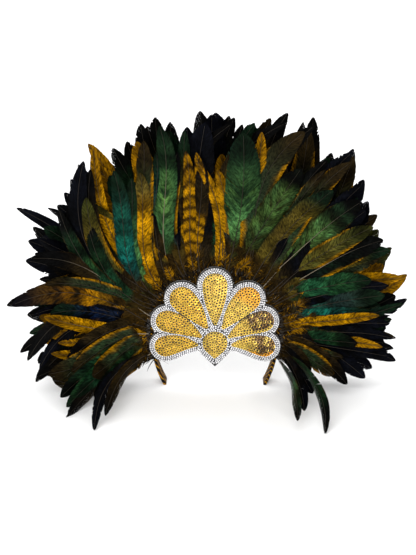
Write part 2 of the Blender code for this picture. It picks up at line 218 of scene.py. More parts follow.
class Sort(Enum):
    """The sorts of dyed cock feather in the fan."""

    NIGHT = Dye(SEPIA, SOOT, INK, painted_sheen=INK, lit=0.8, gloss=0.30)
    DUSK = Dye(UMBER, SEPIA, SOOT, rim=UMBER, rim_share=0.10, gloss=0.15)
    FOREST = Dye(UMBER, PINE, SOOT, rim=UMBER, rim_share=0.06, painted_sheen=JADE, lit=0.40, gloss=0.40)
    EMERALD = Dye(UMBER, (0.006, 0.028, 0.012), PINE, painted_sheen=JADE, lit=1.0, gloss=0.50)
    TEAL = Dye(UMBER, (0.006, 0.026, 0.019), PINE, painted_sheen=LAGOON, lit=1.0, gloss=0.50)
    OLIVE = Dye(UMBER, OLIVE_TONE, SOOT, rim=AMBER_TONE, rim_share=0.07, painted_sheen=JADE, lit=0.16, gloss=0.25)
    EDGED = Dye(UMBER, (0.016, 0.022, 0.010), SEPIA, rim=AMBER_TONE, rim_share=0.24, painted_sheen=JADE, lit=0.2)
    AMBER = Dye(AMBER_TONE, GOLDEN, AMBER_TONE, streak=0.55, gloss=0.05)
    BARRED = Dye(AMBER_TONE, GOLDEN, AMBER_TONE, bars=0.9, streak=0.25, gloss=0.05)
    PEACOCK = Dye(UMBER, SOOT, PINE, rim=AMBER_TONE, rim_share=0.22, painted_sheen=VIOLET, lit=0.9, gloss=0.6)
    MOSS = Dye(UMBER, MOSS_TONE, OLIVE_TONE, rim=AMBER_TONE, rim_share=0.16, painted_sheen=JADE, lit=0.2,
               gloss=0.15)
    SLATE = Dye(UMBER, SLATE_TONE, PINE, rim=OLIVE_TONE, rim_share=0.08, painted_sheen=LAGOON, lit=0.3, gloss=0.35)
    GREEN = Dye(UMBER, (0.010, 0.030, 0.011), PINE, painted_sheen=FERN, lit=1.0, gloss=0.35)
    LEAF = Dye(UMBER, (0.016, 0.018, 0.004), SOOT, rim=UMBER, rim_share=0.08, painted_sheen=FERN, lit=0.62,
               gloss=0.30)
    EMBER = Dye(AMBER_TONE, GOLDEN, TOBACCO, streak=0.15, gloss=0.05)
    RUST = Dye(UMBER, SEPIA, INK, painted_sheen=AMBER_TONE, lit=1.0, gloss=0.10)
    OUTLINED = Dye(UMBER, SOOT, SOOT, rim=GOLDEN, rim_share=0.12, painted_sheen=PINE, lit=0.7, gloss=0.25)
    TAN = Dye(UMBER, MOSS_TONE, PINE, rim=PINE, rim_share=0.10, painted_sheen=TOBACCO, lit=0.5, gloss=0.15)
    FLUFF = Dye(UMBER, UMBER, RUSSET, gloss=0.0)
    DOWN = Dye(UMBER, AMBER_TONE, UMBER, streak=0.6, gloss=0.0)
    SMOKE = Dye(SOOT, SEPIA, UMBER, gloss=0.0)


class Row(Enum):
    """The three rows of feathers, from the back."""

    BACK = 0
    MIDDLE = 1
    FRONT = 2

    @property
    def word(self) -> str:
        """The row's word in node and slot names."""
        return self.name.lower()


@dataclass(frozen=True)
class Plume:
    """One feather, read from its tip, as the frame holds it, and its sort."""

    tip_x: float
    tip_z: float
    width: float
    bow: float
    sort: Sort
    ahead: float = 0.0


def plumes(rows: tuple) -> tuple[Plume, ...]:
    """Plumes from rows of tip_x, tip_z, width, bow, the sort's name and ahead."""
    return tuple(Plume(*row[:4], Sort[row[4]], *row[5:]) for row in rows)


BACK_ROW = plumes((
    (-0.87, 0.04, 0.45, -0.14, "DUSK"),
    (-0.95, 0.09, 0.5, -0.19, "DUSK"),
    (-0.9, 0.17, 0.5, -0.1, "SLATE"),
    (-1.0, 0.285, 0.66, -0.15, "FOREST"),
    (-0.84, 0.25, 0.55, -0.04, "DUSK"),
    (-0.91, 0.43, 0.66, -0.09, "NIGHT"),
    (-0.89, 0.51, 0.7, -0.06, "NIGHT"),
    (-0.86, 0.57, 0.62, 0.04, "DUSK"),
    (-0.95, 0.61, 0.4, -0.05, "NIGHT"),
    (-0.75, 0.63, 0.7, -0.03, "NIGHT"),
    (-0.68, 0.73, 0.72, 0.05, "NIGHT"),
    (-0.64, 0.79, 0.66, 0.03, "NIGHT"),
    (-0.6, 0.84, 0.55, -0.03, "AMBER"),
    (-0.54, 0.77, 0.7, 0.04, "OLIVE"),
    (-0.45, 0.82, 0.72, 0.05, "OLIVE"),
    (-0.41, 0.87, 0.66, 0.03, "FOREST"),
    (-0.35, 0.91, 0.74, 0.05, "OLIVE"),
    (-0.28, 0.94, 0.72, 0.06, "FOREST"),
    (-0.21, 0.93, 0.66, 0.05, "DUSK"),
    (-0.13, 0.92, 0.66, 0.03, "NIGHT"),
    (-0.07, 0.955, 0.84, 0.02, "OLIVE"),
    (0.0, 0.955, 0.9, -0.02, "NIGHT"),
    (0.09, 0.945, 0.62, 0.12, "OLIVE"),
    (0.18, 0.93, 0.66, 0.04, "DUSK"),
    (0.26, 0.93, 0.66, 0.08, "EDGED"),
    (0.34, 0.955, 0.62, 0.1, "DUSK"),
    (0.41, 0.93, 0.7, -0.04, "OLIVE"),
    (0.455, 0.955, 0.66, -0.05, "DUSK"),
    (0.55, 0.81, 0.7, -0.04, "FOREST"),
    (0.65, 0.83, 0.7, -0.05, "NIGHT"),
    (0.7, 0.73, 0.66, -0.04, "NIGHT"),
    (0.72, 0.66, 0.78, -0.05, "NIGHT"),
    (0.775, 0.59, 0.62, 0.04, "EDGED"),
    (0.845, 0.48, 0.66, -0.04, "MOSS"),
    (0.92, 0.39, 0.55, -0.08, "AMBER"),
    (0.92, 0.31, 0.48, -0.09, "NIGHT"),
    (0.86, 0.21, 0.55, -0.04, "SLATE"),
    (0.88, 0.15, 0.46, 0.05, "EDGED"),
    (0.88, 0.07, 0.5, 0.08, "NIGHT"),
    (0.7, 0.03, 0.5, 0.12, "NIGHT"),
))

FRONT_ROW = plumes((
    (-0.55, 0.0, 0.34, -0.36, "NIGHT", 0.95),
    (-0.69, 0.0, 0.45, -0.06, "DUSK", 0.72),
    (-0.69, 0.03, 0.55, -0.05, "EMERALD", 0.66),
    (-0.72, 0.05, 0.55, -0.04, "FOREST", 0.58),
    (-0.78, 0.12, 0.78, 0.08, "EDGED", 0.5),
    (-0.85, 0.06, 0.5, -0.15, "DUSK", 0.34),
    (-0.8, 0.16, 0.66, -0.08, "FOREST"),
    (-0.77, 0.215, 0.62, -0.06, "AMBER"),
    (-0.83, 0.275, 0.7, 0.06, "AMBER"),
    (-0.74, 0.34, 0.7, -0.04, "PEACOCK"),
    (-0.81, 0.4, 0.68, -0.04, "EDGED"),
    (-0.75, 0.48, 0.72, -0.03, "DUSK"),
    (-0.82, 0.565, 0.6, 0.03, "NIGHT"),
    (-0.71, 0.62, 0.74, 0.03, "OLIVE"),
    (-0.72, 0.67, 0.62, 0.04, "FOREST"),
    (-0.62, 0.745, 0.72, 0.03, "MOSS"),
    (-0.56, 0.83, 0.62, -0.03, "AMBER"),
    (-0.48, 0.79, 0.72, 0.06, "TEAL"),
    (-0.46, 0.9, 0.66, 0.03, "FOREST"),
    (-0.35, 0.93, 0.78, 0.05, "AMBER"),
    (-0.31, 0.96, 0.66, 0.02, "OLIVE"),
    (-0.21, 0.95, 0.74, 0.04, "EMERALD"),
    (-0.14, 0.91, 0.66, 0.05, "EDGED"),
    (-0.1, 0.91, 0.55, -0.04, "BARRED"),
    (-0.015, 1.0, 0.84, 0.03, "NIGHT"),
    (0.03, 0.86, 0.58, 0.02, "AMBER"),
    (0.15, 0.98, 1.12, -0.05, "EMERALD"),
    (0.225, 0.97, 0.62, 0.04, "EDGED"),
    (0.29, 0.86, 0.6, -0.02, "FOREST"),
    (0.42, 0.96, 0.66, -0.05, "EDGED"),
    (0.51, 0.87, 0.74, -0.03, "EMERALD"),
    (0.57, 0.82, 0.62, 0.04, "OLIVE"),
    (0.63, 0.86, 0.66, -0.05, "EDGED"),
    (0.65, 0.72, 0.84, 0.03, "EMERALD"),
    (0.75, 0.61, 0.7, -0.05, "MOSS"),
    (0.78, 0.54, 0.66, 0.04, "EDGED"),
    (0.82, 0.4, 0.66, 0.03, "FOREST"),
    (0.78, 0.325, 0.6, -0.05, "SLATE"),
    (0.8, 0.25, 0.62, 0.04, "TEAL"),
    (0.76, 0.175, 0.62, 0.04, "FOREST"),
    (0.72, 0.05, 0.55, 0.06, "NIGHT", 0.2),
    (0.63, 0.05, 0.52, 0.06, "DUSK", 0.32),
    (0.56, 0.09, 0.55, 0.04, "EDGED", 0.36),
    (0.46, 0.05, 0.42, 0.04, "NIGHT", 0.52),
    (0.5, 0.0, 0.36, 0.42, "FOREST", 1.0),
))

# Sorts that fill the rows between the charted feathers
FILLERS = (
    Sort.FOREST, Sort.NIGHT, Sort.OLIVE, Sort.EDGED, Sort.DUSK, Sort.AMBER, Sort.SLATE, Sort.NIGHT,
)


def spread(x: np.ndarray, z: np.ndarray) -> np.ndarray:
    """How far places of the XZ plane lie beyond the tape, from the arch's centre."""
    tape = BAND_HALF_WIDTH + BAND_THICKNESS / 2 + GAP + TAPE_THICKNESS
    return np.maximum(0.0, np.hypot(x, z - BAND_SHOULDER) - tape)


def fan_depth(layer: float, out: np.ndarray) -> np.ndarray:
    """Depth of a feather of a layer.

    Args:
        layer: The layer; what lies beyond the last one is packed closer.
        out: How far places lie beyond the tape.

    Returns:
        The depth at each place.
    """
    held = min(layer, LAYER_COUNT - 1) + COVER_PACKING * max(layer - LAYER_COUNT + 1, 0.0)
    lean = BACK_LEAN + (FRONT_LEAN - BACK_LEAN) * layer / (LAYER_COUNT - 1)
    foot = BAND_WIDTH / LAYER_COUNT * ((LAYER_COUNT - 1) / 2 - held)
    return foot + lean * np.maximum(0.0, out - UPRIGHT_STRETCH)


@dataclass(frozen=True)
class Cover:
    """A feather that lies over the front row, read from its tip and foot as seen from the front.

    right and up place the tip from the middle of the headband's foot line, in steps of
    VIEW_STEP of the picture plane. share is where the foot lies along the headband, and level
    how far to the front the feather lies, from 0. A pale one shows a pale quill.
    """

    share: float
    right: float
    up: float
    width: float
    bow: float
    level: int
    sort: Sort
    pale: bool = False

    @property
    def layer(self) -> float:
        """Its layer in the fan."""
        return LAYER_COUNT - 0.5 + 0.5 * self.level

    def plume(self) -> Plume:
        """Place the tip in the fan, where the feather's lean takes it.

        Returns:
            The feather, as the rows hold theirs.
        """
        sin, cos = math.sin(VIEW_ELEVATION), math.cos(VIEW_ELEVATION)
        x, y, z = self.right * VIEW_STEP, 0.0, self.up * VIEW_STEP
        for _ in range(PLACING_ROUNDS):
            near = (VIEW_DISTANCE - z * sin + y * cos) / VIEW_DISTANCE
            x = self.right * VIEW_STEP * near
            z = min(max((self.up * VIEW_STEP * near - y * sin) / cos, FLOOR_CLEARANCE * 4), FAN_HEIGHT)
            y = float(fan_depth(self.layer, spread(np.array(x), np.array(z))))
        return Plume(x / FAN_HALF_WIDTH, z / FAN_HEIGHT, self.width, self.bow, self.sort)


def covers(rows: tuple) -> tuple[Cover, ...]:
    """Covers from rows of share, right, up, width, bow, level, the sort's name and pale."""
    return tuple(Cover(*row[:6], Sort[row[6]], len(row) > 7) for row in rows)


COVERS = covers((
    (0.115, -162, 3, 0.66, 0.22, 7, "EDGED", 1),
    (0.125, -122, 12, 0.36, 0.05, 3, "EMERALD"),
    (0.13, -178, 4, 0.5, -0.05, 0, "DUSK"),
    (0.14, -138, 22, 0.66, 0.06, 2, "FOREST"),
    (0.152, -150, 16, 0.5, 0.04, 1, "NIGHT"),
    (0.165, -163, 27, 0.42, 0.1, 3, "AMBER"),
    (0.172, -157, 38, 0.3, 0.04, 2, "AMBER"),
    (0.18, -175, 12, 0.46, -0.3, 0, "NIGHT"),
    (0.187, -187, 20, 0.6, -0.34, 1, "DUSK"),
    (0.185, -171, 65, 0.58, 0.055, 7, "AMBER", 1),
    (0.2, -165, 67, 0.86, -0.09, 3, "PEACOCK"),
    (0.21, -181, 66, 0.36, -0.12, 1, "NIGHT"),
    (0.218, -203, 75, 0.76, -0.18, 2, "RUST"),
    (0.238, -185, 122, 0.64, -0.15, 2, "DUSK", 1),
    (0.25, -170, 96, 0.55, -0.1, 1, "EDGED"),
    (0.262, -128, 160, 0.6, 0.1, 3, "FOREST"),
    (0.268, -157, 172, 0.52, 0.11, 1, "FOREST"),
    (0.275, -145, 190, 0.55, 0.14, 0, "OLIVE"),
    (0.292, -132, 221, 0.66, 0.18, 2, "NIGHT"),
    (0.29, -129, 184, 0.62, 0.12, 3, "MOSS"),
    (0.305, -125, 213, 0.56, 0.15, 1, "DUSK"),
    (0.33, -122, 237, 0.4, 0.1, 0, "AMBER"),
    (0.285, -102, 211, 0.58, 0.0, 4, "TEAL"),
    (0.3, -84, 203, 0.56, 0.03, 3, "GREEN"),
    (0.345, -72, 242, 0.64, 0.02, 2, "EDGED"),
    (0.352, -59, 230, 0.5, 0.0, 1, "SLATE"),
    (0.328, -75, 208, 0.56, 0.01, 4, "EMBER"),
    (0.36, -64, 168, 0.4, 0.0, 3, "DUSK"),
    (0.376, -56, 258, 0.7, -0.04, 3, "GREEN", 1),
    (0.395, -52, 214, 0.44, -0.06, 0, "NIGHT"),
    (0.402, -38, 230, 0.6, 0.05, 2, "OUTLINED"),
    (0.412, -31, 251, 0.52, 0.0, 1, "TAN"),
    (0.438, -30, 231, 0.42, -0.03, 4, "BARRED"),
    (0.452, -19, 229, 0.4, -0.045, 3, "BARRED"),
    (0.455, -14, 222, 0.5, -0.02, 3, "DUSK"),
    (0.47, -10, 268, 1.0, 0.04, 1, "NIGHT"),
    (0.482, 18, 263, 0.5, 0.22, 0, "DUSK"),
    (0.505, -20, 222, 0.34, -0.09, 3, "AMBER"),
    (0.5, -2, 190, 0.5, -0.02, 2, "FOREST"),
    (0.52, 2, 212, 0.46, -0.06, 2, "AMBER"),
    (0.527, 14, 216, 0.52, -0.02, 1, "EMBER"),
    (0.538, 28, 249, 1.1, -0.035, 4, "GREEN"),
    (0.552, 47, 250, 0.5, -0.03, 1, "AMBER"),
    (0.54, 72, 266, 0.66, 0.22, 0, "DUSK"),
    (0.555, 40, 262, 0.6, 0.12, 0, "SLATE"),
    (0.598, 90, 250, 0.9, 0.14, 2, "EDGED"),
    (0.6, 100, 266, 0.58, 0.12, 1, "DUSK"),
    (0.572, 86, 212, 0.92, 0.01, 3, "LEAF"),
    (0.622, 113, 222, 0.54, 0.06, 1, "OLIVE"),
    (0.63, 111, 212, 0.42, 0.05, 2, "EDGED"),
    (0.648, 136, 219, 0.64, 0.08, 2, "EDGED"),
    (0.655, 138, 231, 0.76, 0.06, 0, "NIGHT"),
    (0.617, 118, 192, 0.88, 0.035, 4, "TAN"),
    (0.656, 147, 180, 0.96, 0.03, 3, "LEAF", 1),
    (0.675, 147, 196, 0.66, 0.02, 1, "NIGHT"),
    (0.69, 151, 171, 0.9, 0.02, 2, "NIGHT"),
    (0.682, 158, 154, 0.68, 0.03, 4, "MOSS"),
    (0.705, 168, 141, 0.82, 0.05, 3, "OUTLINED", 1),
    (0.716, 175, 131, 0.62, 0.08, 1, "TAN"),
    (0.722, 156, 101, 0.76, 0.03, 4, "EMERALD"),
    (0.745, 188, 104, 0.62, 0.05, 0, "AMBER"),
    (0.745, 174, 96, 0.52, 0.04, 3, "NIGHT"),
    (0.765, 170, 86, 0.7, 0.02, 4, "SLATE"),
    (0.778, 160, 69, 0.54, 0.0, 3, "TEAL"),
    (0.79, 188, 78, 0.38, -0.06, 1, "SLATE"),
    (0.792, 164, 66, 0.4, -0.02, 4, "AMBER"),
    (0.808, 175, 58, 0.5, 0.02, 2, "NIGHT"),
    (0.82, 177, 43, 0.42, 0.04, 2, "NIGHT"),
    (0.828, 167, 34, 0.38, 0.03, 1, "AMBER"),
    (0.838, 142, 38, 0.72, 0.0, 3, "FOREST"),
    (0.846, 173, 25, 0.52, 0.0, 1, "NIGHT"),
    (0.862, 128, 24, 0.36, -0.02, 4, "EDGED"),
    (0.872, 112, 14, 0.4, -0.04, 3, "NIGHT"),
    (0.135, -88, 15, 0.46, 0.06, 6, "DOWN"),
    (0.15, -92, 30, 0.4, 0.04, 5, "DOWN"),
    (0.372, -50, 118, 0.36, 0.02, 6, "DOWN"),
    (0.566, 42, 126, 0.44, 0.02, 6, "DOWN"),
    (0.596, 52, 116, 0.4, 0.03, 6, "DOWN"),
    (0.765, 96, 82, 0.5, 0.02, 6, "DOWN"),
    (0.785, 104, 66, 0.52, 0.0, 7, "DOWN"),
    (0.802, 98, 54, 0.44, -0.02, 6, "DOWN"),
    (0.868, 96, 14, 0.38, -0.03, 6, "DOWN"),
))


def middle_row() -> tuple[Plume, ...]:
    """Space the middle row between the feathers of the back row, and a little shorter.

    Returns:
        The middle row's feathers.
    """
    centre = BAND_SHOULDER / FAN_HEIGHT
    made = []
    for i in range(MIDDLE_COUNT):
        place = (i + 0.5) / MIDDLE_COUNT * (len(BACK_ROW) - 1)
        a, b = BACK_ROW[int(place)], BACK_ROW[int(place) + 1]
        part = place - int(place)
        x = a.tip_x + (b.tip_x - a.tip_x) * part
        z = a.tip_z + (b.tip_z - a.tip_z) * part
        tip_z = centre + (z - centre) * MIDDLE_REACH
        sort = FILLERS[(5 * i) % len(FILLERS)]
        made.append(Plume(x * MIDDLE_REACH, tip_z, MIDDLE_WIDTH, (a.bow + b.bow) / 3, sort))
    return tuple(made)


ROW_PLUMES = {Row.BACK: BACK_ROW, Row.MIDDLE: middle_row(), Row.FRONT: FRONT_ROW}


@dataclass
class Arch:
    """The headband's centre line, from the left end to the right end.

    Args:
        centre: World X of its middle.
        depth: World Y of its middle.
    """

    centre: float
    depth: float
    samples: int = 400

    def __post_init__(self) -> None:
        """Work out the line and its lengths."""
        down = 1.0 - np.arange(self.samples) / self.samples
        leg_x = BAND_HALF_WIDTH - (BAND_HALF_WIDTH - BAND_END_HALF_GAP) * down**LEG_CURVE
        leg = np.stack([leg_x, BAND_SHOULDER * (1.0 - down)], 1)
        turn = math.pi * (1.0 - np.arange(self.samples + 1) / self.samples)
        rise = BAND_HEIGHT - BAND_SHOULDER
        arch = np.stack([BAND_HALF_WIDTH * np.cos(turn), BAND_SHOULDER + rise * np.sin(turn)], 1)
        self.line = np.concatenate([leg * (-1, 1), arch, leg[::-1]])
        steps = np.linalg.norm(np.diff(self.line, axis=0), axis=1)
        self.reach = np.concatenate([[0.0], np.cumsum(steps)])

    @property
    def length(self) -> float:
        """Length of the line."""
        return float(self.reach[-1])

    def at(self, share: float) -> tuple[np.ndarray, np.ndarray]:
        """A place of the line.

        Args:
            share: How far along the line it lies.

        Returns:
            The place and its normal pointing away from the head, both as (x, z).
        """
        far = min(max(share, 0.0), 1.0) * self.reach[-1]
        i = int(np.clip(np.searchsorted(self.reach, far), 1, len(self.line) - 1))
        a, b = self.line[i - 1], self.line[i]
        part = (far - self.reach[i - 1]) / (self.reach[i] - self.reach[i - 1])
        along = (b - a) / np.linalg.norm(b - a)
        return a + (b - a) * part, np.array([-along[1], along[0]])

    def world(self, points: np.ndarray) -> np.ndarray:
        """Points of the headdress's own frame, moved to the world."""
        return points + np.array([self.centre, self.depth, 0.0])


@dataclass
class Spine:
    """A feather's middle line, its side and its face, sampled from root to tip.

    Args:
        arch: The headband that it is tied to.
        plume: The feather.
        share: Where its root lies along the headband.
        layer: Its layer in the fan; 0 is the rearmost.
        roll: Turn of its face about its length, in radians, at the root and the tip.
    """

    arch: Arch
    plume: Plume
    share: float
    layer: float
    roll: tuple[float, float] = (0.0, 0.0)
    samples: int = 72

    def __post_init__(self) -> None:
        """Sample the line."""
        self.t = np.linspace(0.0, 1.0, self.samples)
        self.points = self.arch.world(self.line(self.t))
        self.points[:, 2] = np.maximum(self.points[:, 2], FLOOR_CLEARANCE * 3)
        self.length = float(np.linalg.norm(np.diff(self.points, axis=0), axis=1).sum())
        along = np.gradient(self.points, axis=0)
        along /= np.linalg.norm(along, axis=1)[:, None]
        side = np.stack([-along[:, 2], np.zeros(self.samples), along[:, 0]], 1)
        side /= np.linalg.norm(side, axis=1)[:, None]
        face = np.cross(along, side)
        turn = self.roll[0] + (self.roll[1] - self.roll[0]) * self.t
        cos, sin = np.cos(turn)[:, None], np.sin(turn)[:, None]
        self.side = side * cos + face * sin
        self.face = face * cos - side * sin

    def line(self, t: np.ndarray) -> np.ndarray:
        """The feather's line in the headdress's own frame.

        Args:
            t: Shares of its length, from the root.

        Returns:
            A point for each share.
        """
        plume = self.plume
        foot, normal = self.arch.at(self.share)
        root = foot + normal * (BAND_THICKNESS / 2 + GAP + TAPE_THICKNESS * ROOT_PLACE)
        tip = np.array([plume.tip_x * FAN_HALF_WIDTH, plume.tip_z * FAN_HEIGHT])
        chord = tip - root
        side = np.array([-chord[1], chord[0]])
        first = root + normal * np.linalg.norm(chord) * ROOT_RUN + side * plume.bow * ROOT_BOW
        second = root + chord * BEND_PLACE + side * plume.bow * BEND_BOW
        s = 1.0 - t
        weights = np.stack([s**3, 3 * s * s * t, 3 * s * t * t, t**3], 1)
        flat = weights @ np.stack([root, first, second, tip])
        depth = BAND_WIDTH / LAYER_COUNT * ((LAYER_COUNT - 1) / 2 - self.layer)
        start = spread(*root)
        out = spread(flat[:, 0], flat[:, 1])
        if plume.ahead:
            reach = max(spread(*tip) - start, GAP)
            forward = plume.ahead * FAN_DEPTH + depth
            gone = np.clip(np.maximum(0.0, out - start) / reach, 0.0, 1.0)
            y = depth - forward * gone**FORWARD_CURVE
        else:
            y = fan_depth(self.layer, out)
        return np.stack([flat[:, 0], y, flat[:, 1]], 1)

    def read(self, values: np.ndarray, t: np.ndarray) -> np.ndarray:
        """Sampled vectors at any shares of the length."""
        columns = [np.interp(t, self.t, values[:, i]) for i in range(3)]
        return np.stack(columns, -1)


@dataclass
class Draft:
    """Points, triangles and point data of one mesh in the making."""

    points: list = field(default_factory=list)
    faces: list = field(default_factory=list)
    slots: list = field(default_factory=list)
    tints: list = field(default_factory=list)
    gloss: list = field(default_factory=list)
    lay: list = field(default_factory=list)
    map: list = field(default_factory=list)
    count: int = 0

    def add(
        self,
        points: np.ndarray,
        faces: np.ndarray,
        slot: int,
        tints: np.ndarray,
        gloss: np.ndarray,
        lay: np.ndarray,
        places: np.ndarray,
    ) -> None:
        """Add a stretch of mesh.

        Args:
            points: Its points.
            faces: Its triangles, by point number.
            slot: Its material slot.
            tints: A colour for each point.
            gloss: How metallic each point shines.
            lay: Place of each point along its barb or row, for the pattern.
            places: Place of each point on the bake's map.
        """
        n = len(points)
        self.points.append(points)
        self.faces.append(faces + self.count)
        self.slots.append(np.full(len(faces), slot, np.int32))
        self.tints.append(np.broadcast_to(tints, (n, 3)))
        self.gloss.append(np.broadcast_to(gloss, (n,)))
        self.lay.append(np.broadcast_to(lay, (n, 3)))
        self.map.append(np.broadcast_to(places, (n, 2)))
        self.count += n

    def finish(self, name: str, materials: list[bpy.types.Material]) -> bpy.types.Object:
        """Make the object.

        Args:
            name: Its name.
            materials: Its materials, in the order of the slots.

        Returns:
            The object, in the scene.
        """
        points = np.concatenate(self.points).astype(np.float32)
        faces = np.concatenate(self.faces).astype(np.int32)
        mesh = bpy.data.meshes.new(name)
        mesh.vertices.add(len(points))
        mesh.vertices.foreach_set("co", points.ravel())
        mesh.loops.add(faces.size)
        mesh.loops.foreach_set("vertex_index", faces.ravel())
        mesh.polygons.add(len(faces))
        mesh.polygons.foreach_set("loop_start", np.arange(len(faces), dtype=np.int32) * 3)
        for item in materials:
            mesh.materials.append(item)
        mesh.polygons.foreach_set("material_index", np.concatenate(self.slots))
        mesh.update(calc_edges=True)
        tints = np.concatenate([np.concatenate(self.tints), np.ones((len(points), 1))], 1)
        layer = mesh.color_attributes.new("tint", "FLOAT_COLOR", "POINT")
        layer.data.foreach_set("color", tints.astype(np.float32).ravel())
        layer = mesh.attributes.new("gloss", "FLOAT", "POINT")
        layer.data.foreach_set("value", np.concatenate(self.gloss).astype(np.float32))
        layer = mesh.attributes.new("lay", "FLOAT_VECTOR", "POINT")
        layer.data.foreach_set("vector", np.concatenate(self.lay).astype(np.float32).ravel())
        places = np.concatenate(self.map).astype(np.float32)[faces.ravel()]
        layer = mesh.uv_layers.new(name="OFBake", do_init=False)
        layer.uv.foreach_set("vector", places.ravel())
        mesh.shade_smooth()
        made = bpy.data.objects.new(name, mesh)
        bpy.context.scene.collection.objects.link(made)
        return made


def strip_faces(strips: int, stations: int) -> np.ndarray:
    """Triangles of strips whose points are numbered strip, edge (0 or 1), station.

    Args:
        strips: How many strips.
        stations: Points along each edge.

    Returns:
        The triangles.
    """
    base = np.arange(strips)[:, None] * 2 * stations + np.arange(stations - 1)[None, :]
    a, b = base, base + 1
    c, d = base + stations + 1, base + stations
    return np.stack([np.stack([a, b, c], -1), np.stack([a, c, d], -1)], 2).reshape(-1, 3)


def tube_faces(rings: int, sides: int) -> np.ndarray:
    """Triangles of a tube whose points are numbered ring, side.

    Args:
        rings: How many rings.
        sides: Points of a ring.

    Returns:
        The triangles.
    """
    i, j = np.meshgrid(np.arange(rings - 1), np.arange(sides), indexing="ij")
    a = i * sides + j
    b = i * sides + (j + 1) % sides
    c, d = b + sides, a + sides
    return np.stack([np.stack([a, b, c], -1), np.stack([a, c, d], -1)], 2).reshape(-1, 3)


@dataclass(frozen=True)
class Cell:
    """One feather's or bead's cell of the bake's map."""

    x: float
    y: float
    width: float
    height: float

    def place(self, x: np.ndarray, y: np.ndarray) -> np.ndarray:
        """Places of the map from shares of the cell."""
        return np.stack([self.x + self.width * x, self.y + self.height * y], -1)


def cells(count: int, shape: float) -> list[Cell]:
    """Cells of the bake's map in rows.

    Args:
        count: How many cells.
        shape: Height of a cell over its width.

    Returns:
        The cells, with a small margin between them.
    """
    columns = max(1, math.ceil(math.sqrt(count * shape)))
    rows = math.ceil(count / columns)
    width, height = 1.0 / columns, 1.0 / rows
    margin = 0.03
    return [
        Cell((i % columns + margin) * width, (i // columns + margin / shape) * height,
             width * (1 - 2 * margin), height * (1 - 2 * margin / shape))
        for i in range(count)
    ]


# A vane's half width along the feather: station, share of its full half width
VANE_STATIONS = (0.0, 0.04, 0.10, 0.20, 0.38, 0.60, 0.78, 0.90, 0.96, 0.99, 1.0)
VANE_SHARES = (0.50, 0.60, 0.72, 0.84, 0.96, 1.0, 0.93, 0.70, 0.44, 0.19, 0.05)

# Stations along a barb, and a strip's width there as a share of the pitch
BARB_STATIONS = np.array([0.0, 0.34, 0.66, 0.88, 1.0])
VANE_TAPER = np.array([1.06, 1.06, 1.06, 1.06, 1.0])
DOWN_TAPER = np.array([1.0, 0.90, 0.74, 0.50, 0.12])

# Along a vane: where the foot's dye gives way to the middle's, and the middle's to the tip's
FOOT_BLEND = (0.12, 0.30)
TIP_BLEND = (0.66, 0.90)

# How far the painted sheen patch, a painted highlight, runs, and how its colour shifts in places, for
# cool and for warm ones
LIT_LENGTH = 0.20
COOL_SHIFT = (0.50, 0.85, 1.40)
WARM_SHIFT = (0.7, 0.6, 1.0)

# Turn of the dark bars' wave over a whole vane, in radians
BAR_TURN = 62.0


